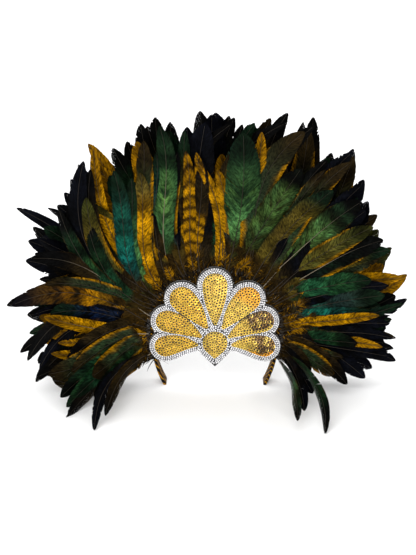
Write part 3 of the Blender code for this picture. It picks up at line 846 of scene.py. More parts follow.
@dataclass
class Cockfeather:
    """One dyed cock feather: a quill, and barbs in narrow strips on both its sides.

    Args:
        spine: Its middle line.
        sort: How it is dyed.
        rng: Where its chances come from.
        seed: Its number, which sets its place in the pattern.
        gain: Its width as a share of the plume's.
        pitch: Width of a barb's strip.
        quill_radius: Radius of the quill at the foot.
        down_end: Share of the length at which its downy barbs end.
        barb_slope: How far a barb runs forward, as a share of how far it runs sideways.
        camber: How far the vane's edges fall back.
        loose: How ruffled it is.
        pale: Whether the quill is pale.
    """

    spine: Spine
    sort: Sort
    rng: np.random.Generator
    seed: int
    gain: float = 1.0
    pitch: float = 0.0017
    quill_radius: float = 0.00044
    down_end: float = 0.08
    barb_slope: float = 1.15
    camber: float = 0.10
    loose: float = 1.0
    pale: bool = False

    def __post_init__(self) -> None:
        """Draw the feather's own mottling, bars, painted sheen patch and wave."""
        rng = self.rng
        self.mottle = Ripple(rng, 26.0, 3.0)
        self.patches = Ripple(rng, 9.0, 1.6)
        self.flecks = Ripple(rng, 70.0, 16.0, 7)
        self.bar_start = rng.uniform(0.0, 2 * math.pi)
        self.lit_place = rng.uniform(0.40, 0.62)
        self.wave = (self.loose * rng.uniform(0.0, 0.0016), rng.uniform(5.0, 11.0), rng.uniform(0, 6))

    @property
    def half_width(self) -> float:
        """Half the full width of the vane."""
        return self.gain * self.spine.plume.width * FEATHER_WIDTH / 2

    def build(self, draft: Draft, cell: Cell) -> None:
        """Add the feather to a draft.

        Args:
            draft: The mesh of its tuft.
            cell: Its cell of the bake's map.
        """
        for side in (-1.0, 1.0):
            self.add_barbs(draft, cell, side)
        self.add_quill(draft, cell)

    def waved(self, t: np.ndarray) -> np.ndarray:
        """How far the feather waves off its middle line at shares of its length."""
        height, turns, start = self.wave
        return height * np.sin(turns * t + start)

    def dye_at(self, t: np.ndarray, u: np.ndarray) -> tuple[np.ndarray, np.ndarray]:
        """Colour and gloss of the vane.

        Args:
            t: Share of the feather's length at each point.
            u: Share of the half width at each point.

        Returns:
            Colours and gloss for the points.
        """
        dye = self.sort.value
        rough = self.mottle.at(t, u)
        soft = self.patches.at(t, u)
        colour = mix(dye.foot, dye.middle, ramp(t + 0.04 * rough - 0.06 * u, *FOOT_BLEND))
        colour = mix(colour, dye.tip, ramp(t + 0.04 * soft, *TIP_BLEND))
        # Painted sheen: a bright patch of the dye's sheen colour is laid into the vane's colour, a
        # painted highlight of its iridescence
        painted_sheen = 0.58 + 0.30 * rough + 0.34 * self.flecks.at(t, u)
        painted_sheen = np.exp(-(((t - self.lit_place) / LIT_LENGTH) ** 2)) * painted_sheen
        painted_sheen = painted_sheen * (1.0 - 0.55 * ramp(u, 0.62, 1.0)) * dye.lit
        shifted = np.array(dye.painted_sheen) * (COOL_SHIFT if dye.painted_sheen[1] > dye.painted_sheen[0] else WARM_SHIFT)
        colour = mix(colour, mix(dye.painted_sheen, shifted, 0.3 + 0.5 * soft), painted_sheen)
        if dye.streak:
            dark = (1.0 - ramp(u + 0.12 * soft, 0.05, 0.42)) * dye.streak * ramp(t, 0.15, 0.5)
            colour = mix(colour, SEPIA, dark)
        if dye.bars:
            bar = np.sin(self.bar_start + BAR_TURN * (t + 0.03 * u) + 0.9 * soft)
            colour = mix(colour, SOOT, ramp(bar, -0.15, 0.65) * dye.bars)
        if dye.rim_share:
            edge = 1.0 - dye.rim_share * (1.0 + 0.35 * soft)
            colour = mix(colour, dye.rim, ramp(u + 0.04 * rough, edge - 0.10, edge + 0.04))
        colour = colour * (1.0 + 0.32 * rough)[..., None]
        gloss = dye.gloss * (0.55 + 0.45 * np.clip(painted_sheen * 2.0, 0.0, 1.0)) * ramp(t, 0.15, 0.40)
        return np.clip(colour, 0.001, 1.0), gloss

    def splits(self, roots: np.ndarray) -> np.ndarray:
        """Push the barbs apart at a few places, where the vane has come open.

        Args:
            roots: Share of the feather's length at each barb's root.

        Returns:
            How far the end of each barb is pushed along the feather.
        """
        rng = self.rng
        push = np.zeros(len(roots))
        for _ in range(rng.integers(1, 4)):
            place, fall = rng.uniform(0.30, 0.80), rng.uniform(0.02, 0.05)
            away = self.loose * rng.uniform(0.002, 0.008) * np.sign(roots - place)
            push += away * np.exp(-np.abs(roots - place) / fall)
        return push

    def add_barbs(self, draft: Draft, cell: Cell, side: float) -> None:
        """Add the barbs of one side.

        Args:
            draft: The mesh of the tuft.
            cell: The feather's cell of the bake's map.
            side: -1 for the right of its growth, 1 for the left.
        """
        spine, rng = self.spine, self.rng
        count = max(24, int(spine.length / self.pitch))
        edges = np.linspace(0.015, 0.995, count + 1)
        middle = (edges[:-1] + edges[1:]) / 2
        half = (edges[1:] - edges[:-1]) / 2
        downy = 1.0 - ramp(middle, self.down_end * 0.55, self.down_end * 1.25)
        taper = VANE_TAPER + (DOWN_TAPER - VANE_TAPER) * downy[:, None]
        ends = np.array([-1.0, 1.0])[None, :, None]
        root = middle[:, None, None] + ends * (half[:, None] * taper)[:, None, :]
        slope = self.barb_slope * (1.0 + 0.25 * downy * rng.uniform(-1.0, 1.0, count))
        slope = slope[:, None, None]
        push = self.splits(middle)[:, None, None]
        frays = 1.0 - np.abs(rng.normal(0.0, 0.022 + 0.14 * downy, count))
        frays *= 1.0 - 0.16 * (rng.random(count) < 0.04)
        left = np.maximum(1.0 - root, 0.004)

        def run(v: np.ndarray) -> np.ndarray:
            """Shares of the feather's length that barbs reach at shares of their own."""
            advance = self.half_width * slope / spine.length * v**1.15 + push * v**2
            return root + left * (1.0 - np.exp(-np.maximum(advance, 0.0) / left))

        far = run(np.ones(root.shape))[..., -1]
        reach = np.interp(far, VANE_STATIONS, VANE_SHARES) * self.half_width
        v = np.broadcast_to(BARB_STATIONS, root.shape) * frays[:, None, None]
        t = run(v)
        x = v * reach[..., None] + self.quill_radius * 0.2 * (1.0 - t)
        u = x / self.half_width
        lift = -self.camber * u**2 * self.half_width * 2.0 * t
        lift = lift + self.waved(t)
        room = (t[:, 1:] - t[:, :1]) * spine.length
        tile = (rng.uniform(-1.0, 1.0, count) * 0.06)[:, None, None]
        lift = lift + (tile + ends * 0.035) * room * v
        stray = self.loose * downy * rng.normal(0.0, 0.0030, count)
        lift = lift + stray[:, None, None] * v**2
        points = spine.read(spine.points, t) + spine.read(spine.side, t) * (side * x)[..., None]
        points = points + spine.read(spine.face, t) * lift[..., None]
        points[..., 2] = np.maximum(points[..., 2], FLOOR_CLEARANCE)
        colour, gloss = self.dye_at(t, np.clip(u, 0.0, 1.0))
        lay = np.stack([root * spine.length * 1000, x * 1000 * side, np.full(root.shape, self.seed)], -1)
        across = 0.5 + side * (0.04 + 0.46 * v)
        along = (root - edges[0]) / (edges[-1] - edges[0])
        draft.add(
            points.reshape(-1, 3),
            strip_faces(count, len(BARB_STATIONS)),
            0,
            colour.reshape(-1, 3),
            gloss.ravel(),
            lay.reshape(-1, 3),
            cell.place(across, along).reshape(-1, 2),
        )

    def add_quill(self, draft: Draft, cell: Cell) -> None:
        """Add the quill: a thin tube that tapers to the tip, just proud of the vane.

        Args:
            draft: The mesh of the tuft.
            cell: The feather's cell of the bake's map.
        """
        spine = self.spine
        t = np.linspace(0.0, 0.985, 22)
        sides = 4
        turn = np.arange(sides) * 2 * math.pi / sides
        radius = self.quill_radius * (1.0 - 0.82 * t) + 0.00006
        lift = self.waved(t) + 0.00018
        side, face = spine.read(spine.side, t), spine.read(spine.face, t)
        centre = spine.read(spine.points, t) + face * lift[:, None]
        ring = side[:, None] * np.cos(turn)[:, None] + face[:, None] * np.sin(turn)[:, None]
        points = centre[:, None] + ring * radius[:, None, None]
        points[..., 2] = np.maximum(points[..., 2], FLOOR_CLEARANCE)
        colour = mix(STRAW if self.pale else HORN, HORN, ramp(t, 0.35, 0.95))
        tints = np.repeat(colour, sides, axis=0)
        lay = np.stack([t * spine.length * 1000, np.zeros_like(t), np.full_like(t, self.seed)], 1)
        across = np.broadcast_to(0.465 + 0.07 * np.arange(sides) / (sides - 1), (len(t), sides))
        along = np.broadcast_to(t[:, None], (len(t), sides))
        draft.add(
            points.reshape(-1, 3),
            tube_faces(len(t), sides),
            1,
            tints,
            np.zeros(len(tints)),
            np.repeat(lay, sides, axis=0),
            cell.place(across, along).reshape(-1, 2),
        )


class Tree:
    """A material's node tree, with short ways to add and join nodes."""

    def __init__(self, name: str) -> None:
        """Make the material and keep its shader.

        Args:
            name: The material's name.
        """
        self.material = bpy.data.materials.new(name)
        self.material.use_nodes = True
        self.nodes = self.material.node_tree.nodes
        self.shader = self.nodes["Principled BSDF"]

    def add(self, kind: str, **values: object) -> bpy.types.Node:
        """Add a node.

        Args:
            kind: Its type.
            values: Its properties by name, and its inputs by number, as in_0, or by name, as
                at_Scale with _ for a space.

        Returns:
            The node.
        """
        node = self.nodes.new(kind)
        for key, value in values.items():
            if key.startswith("in_"):
                node.inputs[int(key[3:])].default_value = value
            elif key.startswith("at_"):
                node.inputs[key[3:].replace("_", " ")].default_value = value
            else:
                setattr(node, key, value)
        return node

    def join(self, start: bpy.types.NodeSocket, end: bpy.types.NodeSocket) -> None:
        """Link an output to an input."""
        self.material.node_tree.links.new(start, end)

    def feed(self, name: str, value: bpy.types.NodeSocket) -> None:
        """Link an output to a socket of the shader."""
        self.join(value, self.shader.inputs[name])

    def set(self, **values: object) -> None:
        """Set sockets of the shader by their names, with _ for a space."""
        for key, value in values.items():
            self.shader.inputs[key.replace("_", " ")].default_value = value

    def place(self) -> bpy.types.NodeSocket:
        """Places in the piece's own metres."""
        return self.add("ShaderNodeTexCoord").outputs["Object"]

    def attribute(self, name: str, kind: str) -> bpy.types.NodeSocket:
        """A point attribute, read as a Color, a Vector or a number, which is Fac."""
        return self.add("ShaderNodeAttribute", attribute_name=name).outputs[kind]

    def noise(self, vector: bpy.types.NodeSocket, scale: float, detail: float) -> bpy.types.NodeSocket:
        """Noise over a vector.

        Args:
            vector: Where it is read.
            scale: Its scale.
            detail: How many finer layers it has.

        Returns:
            The noise, between 0 and 1.
        """
        node = self.add("ShaderNodeTexNoise", at_Scale=scale, at_Detail=detail)
        self.join(vector, node.inputs["Vector"])
        return node.outputs["Fac"]

    def stretched(self, vector: bpy.types.NodeSocket, scale: Colour) -> bpy.types.NodeSocket:
        """Scale a vector.

        Args:
            vector: The vector.
            scale: Its scale on each axis.

        Returns:
            The scaled vector.
        """
        node = self.add("ShaderNodeMapping", at_Scale=scale)
        self.join(vector, node.inputs["Vector"])
        return node.outputs["Vector"]

    def span(self, value: bpy.types.NodeSocket, reach: Range, to: Range) -> bpy.types.NodeSocket:
        """Map a value from one range to another.

        Args:
            value: The value.
            reach: The range that it is read over.
            to: The range that it is given.

        Returns:
            The new value.
        """
        node = self.add("ShaderNodeMapRange", in_1=reach[0], in_2=reach[1], in_3=to[0], in_4=to[1])
        self.join(value, node.inputs[0])
        return node.outputs[0]

    def blend(
        self, part: bpy.types.NodeSocket | float, a: object, b: object, mode: str = "MIX"
    ) -> bpy.types.NodeSocket:
        """Mix two colours.

        Args:
            part: How much of the second one there is.
            a: The first, a socket or a colour.
            b: The second, a socket or a colour.
            mode: How they are mixed.

        Returns:
            The mixed colour.
        """
        node = self.add("ShaderNodeMix", data_type="RGBA", blend_type=mode)
        for value, socket in ((part, node.inputs[0]), (a, node.inputs[6]), (b, node.inputs[7])):
            if isinstance(value, bpy.types.NodeSocket):
                self.join(value, socket)
            else:
                socket.default_value = (*value, 1.0) if isinstance(value, tuple) else value
        return node.outputs[2]

    def shade(
        self, colour: bpy.types.NodeSocket, pattern: bpy.types.NodeSocket, light: Range,
        reach: Range = NOISE_REACH
    ) -> bpy.types.NodeSocket:
        """Make a colour darker and lighter by a pattern.

        Args:
            colour: The colour.
            pattern: The pattern.
            light: What the colour is multiplied by at both ends of the pattern's range.
            reach: The pattern's range.

        Returns:
            The shaded colour.
        """
        value = self.span(pattern, reach, light)
        grey = self.add("ShaderNodeCombineColor")
        for i in range(3):
            self.join(value, grey.inputs[i])
        return self.blend(1.0, colour, grey.outputs[0], "MULTIPLY")

    def bump(self, height: bpy.types.NodeSocket, strength: float, distance: float) -> None:
        """Give the shader a bump.

        Args:
            height: The pattern that is raised.
            strength: How much it shows.
            distance: How high it is, in metres.
        """
        node = self.add("ShaderNodeBump", at_Strength=strength, at_Distance=distance)
        self.join(height, node.inputs["Height"])
        self.feed("Normal", node.outputs["Normal"])


@dataclass(frozen=True)
class Finish:
    """A finish, which each kind paints in its own way."""

    name: str

    def paint(self, tree: Tree) -> None:
        """Lay out the finish in a material's tree."""
        raise NotImplementedError

    def make(self) -> bpy.types.Material:
        """Make the material of the finish.

        Returns:
            The material.
        """
        tree = Tree(self.name)
        self.paint(tree)
        return tree.material


@dataclass(frozen=True)
class VaneFinish(Finish):
    """A dyed vane: fine barb lines, speckles and a silky to metallic shine."""

    name: str = "dyed_vane"
    barb_scale: float = 3.2
    barb_stretch: Colour = (1.0, 0.10, 7.0)
    barb_light: Range = (0.23, 1.53)
    speckle_scale: float = 0.55
    speckle_stretch: Colour = (1.0, 0.7, 5.0)
    speckle_light: Range = (0.24, 1.32)
    roughness: Range = (0.34, 0.56)
    specular: float = 0.015

    def paint(self, tree: Tree) -> None:
        """Lay out the finish in a material's tree.

        Args:
            tree: The tree.
        """
        lay = tree.attribute("lay", "Vector")
        barbs = tree.noise(tree.stretched(lay, self.barb_stretch), self.barb_scale, 2.0)
        specks = tree.noise(tree.stretched(lay, self.speckle_stretch), self.speckle_scale, 4.0)
        colour = tree.shade(tree.attribute("tint", "Color"), barbs, self.barb_light, (0.30, 0.70))
        tree.feed("Base Color", tree.shade(colour, specks, self.speckle_light, (0.36, 0.62)))
        tree.feed("Metallic", tree.attribute("gloss", "Fac"))
        tree.feed("Roughness", tree.span(barbs, (0.25, 0.75), self.roughness))
        tree.set(Specular_IOR_Level=self.specular)
        tree.bump(barbs, 0.30, 0.00004)


@dataclass(frozen=True)
class QuillFinish(Finish):
    """A horny quill, pale at the foot and dark towards the tip."""

    name: str = "quill_horn"
    grain: float = 0.6
    light: Range = (0.75, 1.25)
    roughness: Range = (0.34, 0.52)
    specular: float = 0.15

    def paint(self, tree: Tree) -> None:
        """Lay out the finish in a material's tree.

        Args:
            tree: The tree.
        """
        grain = tree.noise(tree.attribute("lay", "Vector"), self.grain, 3.0)
        tree.feed("Base Color", tree.shade(tree.attribute("tint", "Color"), grain, self.light))
        tree.feed("Roughness", tree.span(grain, NOISE_REACH, self.roughness))
        tree.set(Specular_IOR_Level=self.specular)
        tree.bump(grain, 0.15, 0.0002)


@dataclass(frozen=True)
class WovenFinish(Finish):
    """A woven black tape or felt, by its threads' scale and the softness of its nap."""

    base: Colour
    light: Colour
    scale: float
    roughness: Range
    sheen: float
    bump: float

    def paint(self, tree: Tree) -> None:
        """Lay out the finish in a material's tree.

        Args:
            tree: The tree.
        """
        place = tree.place()
        nap = tree.noise(place, self.scale, 6.0)
        patches = tree.noise(place, self.scale / 18.0, 2.0)
        colour = tree.blend(tree.span(nap, (0.40, 0.70), (0.0, 1.0)), self.base, self.light)
        tree.feed("Base Color", tree.shade(colour, patches, (0.75, 1.2)))
        tree.feed("Roughness", tree.span(nap, NOISE_REACH, self.roughness))
        tree.set(Sheen_Weight=self.sheen, Sheen_Roughness=0.5)
        tree.bump(nap, self.bump, 0.0005)


@dataclass(frozen=True)
class RibbonFinish(Finish):
    """Black satin ribbon with steep amber streaks and thin amber edges."""

    name: str = "streaked_ribbon"
    base: Colour = (0.004, 0.004, 0.004)
    streaks: Colour = (0.36, 0.16, 0.004)
    streak_scale: float = 95.0
    distortion: float = 5.5
    weave_scale: float = 2200.0
    weave_light: Range = (0.6, 1.35)
    roughness: Range = (0.50, 0.70)
    specular: float = 0.03

    def paint(self, tree: Tree) -> None:
        """Lay out the finish in a material's tree.

        Args:
            tree: The tree.
        """
        place = tree.place()
        slant = tree.add(
            "ShaderNodeTexWave", wave_type="BANDS", bands_direction="DIAGONAL", at_Detail=2.0,
            at_Detail_Scale=0.9, at_Scale=self.streak_scale, at_Distortion=self.distortion,
        )
        tree.join(place, slant.inputs["Vector"])
        weave = tree.noise(tree.stretched(place, (1.0, 0.25, 1.0)), self.weave_scale, 2.0)
        streak = tree.span(slant.outputs["Fac"], (0.80, 0.92), (0.0, 1.0))
        colour = tree.blend(streak, self.base, self.streaks)
        tree.feed("Base Color", tree.shade(colour, weave, self.weave_light))
        tree.feed("Roughness", tree.span(weave, NOISE_REACH, self.roughness))
        tree.set(Specular_IOR_Level=self.specular)
        tree.bump(weave, 0.25, 0.0001)


@dataclass(frozen=True)
class MetalFinish(Finish):
    """Sequin foil or bead metal: a tint for each piece, with fine marks and smears."""

    roughness: Range
    marks: float
    bump: float
    coat: float
    light: Range = (0.82, 1.12)

    def paint(self, tree: Tree) -> None:
        """Lay out the finish in a material's tree.

        Args:
            tree: The tree.
        """
        marks = tree.noise(tree.attribute("lay", "Vector"), self.marks, 3.0)
        tree.feed("Base Color", tree.shade(tree.attribute("tint", "Color"), marks, self.light))
        tree.feed("Roughness", tree.span(marks, NOISE_REACH, self.roughness))
        tree.feed("Metallic", tree.attribute("gloss", "Fac"))
        tree.set(Coat_Weight=self.coat, Coat_Roughness=0.08)
        tree.bump(marks, self.bump, 0.0002)


@dataclass(frozen=True)
class NetFinish(Finish):
    """The stitched ground under sequins or beads, which shows only in their gaps."""

    base: Colour
    light: Colour
    scale: float = 1400.0
    roughness: Range = (0.35, 0.6)

    def paint(self, tree: Tree) -> None:
        """Lay out the finish in a material's tree.

        Args:
            tree: The tree.
        """
        net = tree.add("ShaderNodeTexVoronoi", feature="DISTANCE_TO_EDGE", at_Scale=self.scale)
        tree.join(tree.place(), net.inputs["Vector"])
        threads = net.outputs["Distance"]
        ground = tree.blend(tree.span(threads, (0.0, 0.2), (1.0, 0.0)), self.base, self.light)
        tree.feed("Base Color", ground)
        tree.feed("Roughness", tree.span(threads, (0.0, 0.3), self.roughness))
        tree.bump(threads, 0.4, 0.0002)


@dataclass(frozen=True)
class TableFinish(Finish):
    """A plain pale matt table."""

    name: str = "pale_table"
    dark: Colour = (0.90, 0.90, 0.90)
    light: Colour = (0.92, 0.92, 0.92)

    def paint(self, tree: Tree) -> None:
        """Lay out the finish in a material's tree.

        Args:
            tree: The tree.
        """
        tree.feed("Base Color", tree.blend(tree.noise(tree.place(), 3.0, 3.0), self.dark, self.light))
        tree.set(Roughness=0.75, Specular_IOR_Level=0.2)


TAPE_WEAVE = WovenFinish(
    "feather_tape", base=(0.010, 0.009, 0.008), light=(0.035, 0.030, 0.024), scale=900.0,
    roughness=(0.62, 0.78), sheen=0.2, bump=0.5,
)
FELT_NAP = WovenFinish(
    "black_felt_nap", base=(0.006, 0.006, 0.006), light=(0.030, 0.028, 0.026), scale=1300.0,
    roughness=(0.82, 0.98), sheen=0.35, bump=0.8,
)
SEQUIN_FOIL = MetalFinish("gold_sequin_foil", (0.16, 0.32), marks=0.9, bump=0.12, coat=0.35)
BEAD_GLAZE = MetalFinish("silver_bead_glaze", (0.12, 0.30), marks=1.6, bump=0.15, coat=0.4)
SEQUIN_NET = NetFinish("gold_sequin_ground", base=(0.003, 0.002, 0.001), light=(0.012, 0.006, 0.002))
BEAD_NET = NetFinish("silver_bead_ground", base=(0.002, 0.002, 0.002), light=(0.010, 0.010, 0.011))


@dataclass
class Wardrobe:
    """The material of every finish, made once."""

    vane: bpy.types.Material = field(default_factory=VaneFinish().make)
    quill: bpy.types.Material = field(default_factory=QuillFinish().make)
    tape: bpy.types.Material = field(default_factory=TAPE_WEAVE.make)
    felt: bpy.types.Material = field(default_factory=FELT_NAP.make)
    ribbon: bpy.types.Material = field(default_factory=RibbonFinish().make)
    sequin: bpy.types.Material = field(default_factory=SEQUIN_FOIL.make)
    bead: bpy.types.Material = field(default_factory=BEAD_GLAZE.make)
    gold_net: bpy.types.Material = field(default_factory=SEQUIN_NET.make)
    silver_net: bpy.types.Material = field(default_factory=BEAD_NET.make)


@dataclass
class FeatherTuft:
    """One stretch of feather tape with all its feathers, standing for one node.

    fillers is how many feathers stand between two charted ones, filler_reach their length as a
    share of the charted ones', and gain the width of all of them as a share of their plumes'.
    """

    row: Row
    sector: int
    arch: Arch
    wardrobe: Wardrobe
    fillers: int = 2
    filler_reach: Range = (0.80, 0.98)
    gain: float = 1.15
    pitch: float = 0.0016
    coverts: int = 0
    covert_reach: Range = (0.026, 0.048)
    covert_width: Range = (0.34, 0.52)
    down_hairs: int = 0
    hair_length: Range = (0.008, 0.020)
    hair_half_width: Range = (0.00022, 0.00055)
    tape_steps: int = 16

    @property
    def node(self) -> str:
        """The node that the tuft stands for."""
        return f"{self.row.word}_feathers_{SECTORS[self.sector]}"

    def share(self, place: float, tied: int) -> float:
        """Share of the headband at a place of the sector counted in feathers."""
        start = TAPE_START + (1.0 - 2.0 * TAPE_START) * self.sector / len(SECTORS)
        return start + (1.0 - 2.0 * TAPE_START) / len(SECTORS) * (place + 0.5) / tied

    def holds(self, share: float) -> bool:
        """Whether a share of the headband lies on this stretch."""
        return self.share(-0.5, 1) <= share < self.share(0.5, 1)

    def layer(self, number: int, plume: Plume) -> float:
        """Layer of a charted feather.

        Args:
            number: Its number in its row.
            plume: The feather.

        Returns:
            The layer in the fan.
        """
        if plume.ahead:
            return LAYER_COUNT - 1 - number % 2
        return self.row.value * LAYERS_PER_ROW + number % LAYERS_PER_ROW

    def filler(self, a: Plume, b: Plume, part: float, rng: np.random.Generator) -> Plume:
        """A feather between two charted ones, a little shorter.

        Args:
            a: The feather before it.
            b: The feather after it.
            part: How far it stands from a to b.
            rng: Where its chances come from.

        Returns:
            The feather.
        """
        reach = rng.uniform(*self.filler_reach)
        centre = BAND_SHOULDER / FAN_HEIGHT
        x = (a.tip_x + (b.tip_x - a.tip_x) * part) * reach + rng.normal(0.0, 0.012)
        z = a.tip_z + (b.tip_z - a.tip_z) * part
        z = centre + (z - centre) * reach + rng.normal(0.0, 0.010)
        width = (a.width + b.width) / 2 * rng.uniform(0.72, 1.0)
        bow = (a.bow + b.bow) / 2 + rng.normal(0.0, 0.02)
        pool = [a.sort, b.sort] + [FILLERS[rng.integers(len(FILLERS))] for _ in range(2)]
        sort = pool[rng.integers(len(pool))]
        ahead = (a.ahead + b.ahead) / 2 if a.ahead and b.ahead else a.ahead
        return Plume(x, max(z, 0.0), width, bow, sort, ahead)

    def covert(self, share: float, rng: np.random.Generator) -> Plume:
        """A short downy feather over the feet of the others.

        Args:
            share: Where its root lies along the headband.
            rng: Where its chances come from.

        Returns:
            The feather.
        """
        foot, normal = self.arch.at(share)
        turn = rng.normal(0.0, 0.30)
        way = np.array([
            normal[0] * math.cos(turn) - normal[1] * math.sin(turn),
            normal[0] * math.sin(turn) + normal[1] * math.cos(turn),
        ])
        tip = foot + way * rng.uniform(*self.covert_reach)
        sort = Sort.SMOKE if rng.random() < 0.55 else Sort.FLUFF
        bow, width = rng.normal(0.0, 0.06), rng.uniform(*self.covert_width)
        return Plume(tip[0] / FAN_HALF_WIDTH, max(tip[1], 0.006) / FAN_HEIGHT, width, bow, sort)

    def add_coverts(self, draft: Draft, places: list[Cell]) -> None:
        """Add the short downy feathers.

        Args:
            draft: The mesh of the tuft.
            places: A cell of the bake's map for each of them.
        """
        rng = np.random.default_rng(5000 + self.sector)
        for number, cell in enumerate(places):
            share = self.share(number + rng.uniform(0.0, 1.0) - 0.5, self.coverts)
            layer = LAYER_COUNT + rng.uniform(-0.6, 0.9)
            spine = Spine(self.arch, self.covert(share, rng), share, layer, (0.0, rng.normal(0.0, 0.4)))
            feather = Cockfeather(spine, spine.plume.sort, rng, number * 4 + 1, pitch=0.0009,
                                  quill_radius=0.0003, down_end=2.0, barb_slope=0.9)
            feather.build(draft, cell)

    def add_down_hairs(self, draft: Draft, cell: Cell) -> None:
        """Add the loose down that fills the notches between the plate and the headband.

        Args:
            draft: The mesh of the tuft.
            cell: The hairs' cell of the bake's map.
        """
        rng = np.random.default_rng(6000 + self.sector)
        stations = np.linspace(0.0, 1.0, 5)
        taper = np.array([0.9, 1.0, 0.85, 0.6, 0.1])
        tones = (SEPIA, UMBER, SOOT, UMBER, SEPIA, SOOT, RUSSET)
        start, end = self.share(-0.5, 1), self.share(0.5, 1)
        rows, tints = [], []
        for _ in range(self.down_hairs):
            foot, normal = self.arch.at(start + (end - start) * rng.random())
            outward = math.pi * float(rng.random() < 0.35)
            turn = math.atan2(-normal[1], -normal[0]) + outward + rng.normal(0.0, 0.38)
            curl, length = rng.normal(0.0, 0.7), rng.uniform(*self.hair_length)
            angle = turn + curl * stations
            way = np.stack([np.cos(angle), np.sin(angle)], 1)
            side = np.stack([-way[:, 1], way[:, 0]], 1)
            line = foot + (np.cumsum(way, axis=0) - way) * length / (len(stations) - 1)
            half = taper[:, None] * rng.uniform(*self.hair_half_width)
            y = -BAND_WIDTH / 2 - rng.uniform(0.00014, 0.00027)
            for edge in (line + side * half, line - side * half):
                rows.append(np.stack([edge[:, 0], np.full(len(edge), y), edge[:, 1]], 1))
            tone = tones[rng.integers(len(tones))]
            tints.append(np.tile(np.array(tone) * rng.uniform(0.6, 1.1), (2 * len(stations), 1)))
        points = self.arch.world(np.concatenate(rows))
        edges = 2 * self.down_hairs
        along = np.tile(stations, edges)
        across = np.repeat(np.arange(edges) / (edges - 1), len(stations))
        lay = np.stack([along * 12.0, across * 300.0, np.zeros(along.size)], 1)
        faces = strip_faces(self.down_hairs, len(stations))
        draft.add(points, faces, 0, np.concatenate(tints), 0.0, lay, cell.place(across, along))

    def add_charted(self, draft: Draft, places: list[Cell]) -> None:
        """Add the row's own feathers and the fillers between them.

        Args:
            draft: The mesh of the tuft.
            places: A cell of the bake's map for each of them.
        """
        row = ROW_PLUMES[self.row]
        tied = len(row) // len(SECTORS)
        seed = 1000 * self.row.value + 100 * self.sector
        plan = []
        for i in range(tied):
            number = self.sector * tied + i
            rng = np.random.default_rng(seed + i)
            plume, after = row[number], row[min(number + 1, len(row) - 1)]
            layer = self.layer(number, plume)
            plan.append((plume, self.share(i, tied), layer, rng))
            for k in range(self.fillers):
                part = (k + 1) / (self.fillers + 1)
                share = self.share(i + part, tied)
                plan.append((self.filler(plume, after, part, rng), share, layer - part, rng))
        for number, (plume, share, layer, rng) in enumerate(plan):
            roll = rng.normal(0.0, 0.16), rng.normal(0.0, 0.30)
            spine = Spine(self.arch, plume, share, layer, roll)
            feather = Cockfeather(spine, plume.sort, rng, seed + number, self.gain, self.pitch)
            feather.build(draft, places[number])

    def add_covers(self, draft: Draft, laid: list[Cover], places: list[Cell]) -> None:
        """Add the feathers that lie over the front row.

        Args:
            draft: The mesh of the tuft.
            laid: The covers of this stretch.
            places: A cell of the bake's map for each of them.
        """
        for number, cover in enumerate(laid):
            rng = np.random.default_rng(7000 + 100 * self.sector + number)
            roll = rng.normal(0.0, 0.12), rng.normal(0.0, 0.20)
            spine = Spine(self.arch, cover.plume(), cover.share, cover.layer, roll)
            downy = cover.sort is Sort.DOWN
            make = {"pitch": 0.0010, "down_end": 1.2} if downy else {"pitch": self.pitch}
            feather = Cockfeather(spine, cover.sort, rng, number, pale=cover.pale, **make)
            feather.build(draft, places[number])

    def build(self) -> bpy.types.Object:
        """Make the tuft.

        Returns:
            Its object, riding on the headdress.
        """
        draft = Draft()
        laid = [item for item in COVERS if self.row is Row.FRONT and self.holds(item.share)]
        charted = len(ROW_PLUMES[self.row]) // len(SECTORS) * (1 + self.fillers)
        above = charted + self.coverts
        places = cells(above + len(laid) + 2, 3.0)
        self.add_charted(draft, places[:charted])
        self.add_coverts(draft, places[charted:above])
        self.add_covers(draft, laid, places[above:])
        if self.down_hairs:
            self.add_down_hairs(draft, places[-2])
        self.add_tape(draft, places[-1])
        slots = [self.wardrobe.vane, self.wardrobe.quill, self.wardrobe.tape]
        tuft = draft.finish(f"cock_{self.node}", slots)
        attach(tuft, "root")
        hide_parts(self.node)
        return tuft

    def add_tape(self, draft: Draft, cell: Cell) -> None:
        """Add the stretch of tape that the feathers are tied to.

        Args:
            draft: The mesh of the tuft.
            cell: The tape's cell of the bake's map.
        """
        pitch = BAND_WIDTH / len(Row)
        middle = pitch * (1 - self.row.value)
        half = (pitch - GAP) / 2
        inner = BAND_THICKNESS / 2 + GAP
        outer = inner + TAPE_THICKNESS
        corners = ((inner, -half), (outer, -half), (outer, half), (inner, half))
        rings = []
        feathered = (1.0 - 2.0 * TAPE_START) / len(SECTORS)
        trim = GAP / 2 / self.arch.length
        start = TAPE_START + feathered * self.sector + trim
        steps = self.tape_steps
        for i in range(steps + 1):
            (x, z), (nx, nz) = self.arch.at(start + (feathered - 2 * trim) * i / steps)
            rings.append([(x + nx * r, middle + y, z + nz * r) for r, y in corners])
        points = self.arch.world(np.array(rings).reshape(-1, 3))
        caps = np.array([[0, 2, 1], [0, 3, 2]])
        last = len(points) - len(corners)
        faces = np.concatenate([tube_faces(steps + 1, len(corners)), caps, last + caps[:, ::-1]])
        across, along = np.meshgrid(np.arange(4) / 3, np.arange(steps + 1) / steps)
        lay = np.stack([along.ravel() * 50.0, across.ravel() * 8.0, np.zeros(along.size)], 1)
        draft.add(points, faces, 2, np.array(SOOT), 0.0, lay, cell.place(across, along).reshape(-1, 2))


# Left petals and the top one, as in the frame: root, end, radii and bow
PETALS = (
    ("lower", -0.290, -0.030, -0.779, -0.053, 0.168, 0.028, -0.13),
    ("middle", -0.235, 0.112, -0.750, 0.368, 0.175, 0.030, -0.11),
    ("upper", -0.140, 0.268, -0.512, 0.738, 0.196, 0.032, -0.06),
    ("top", 0.0, 0.322, 0.0, 0.968, 0.190, 0.030, 0.0),
)


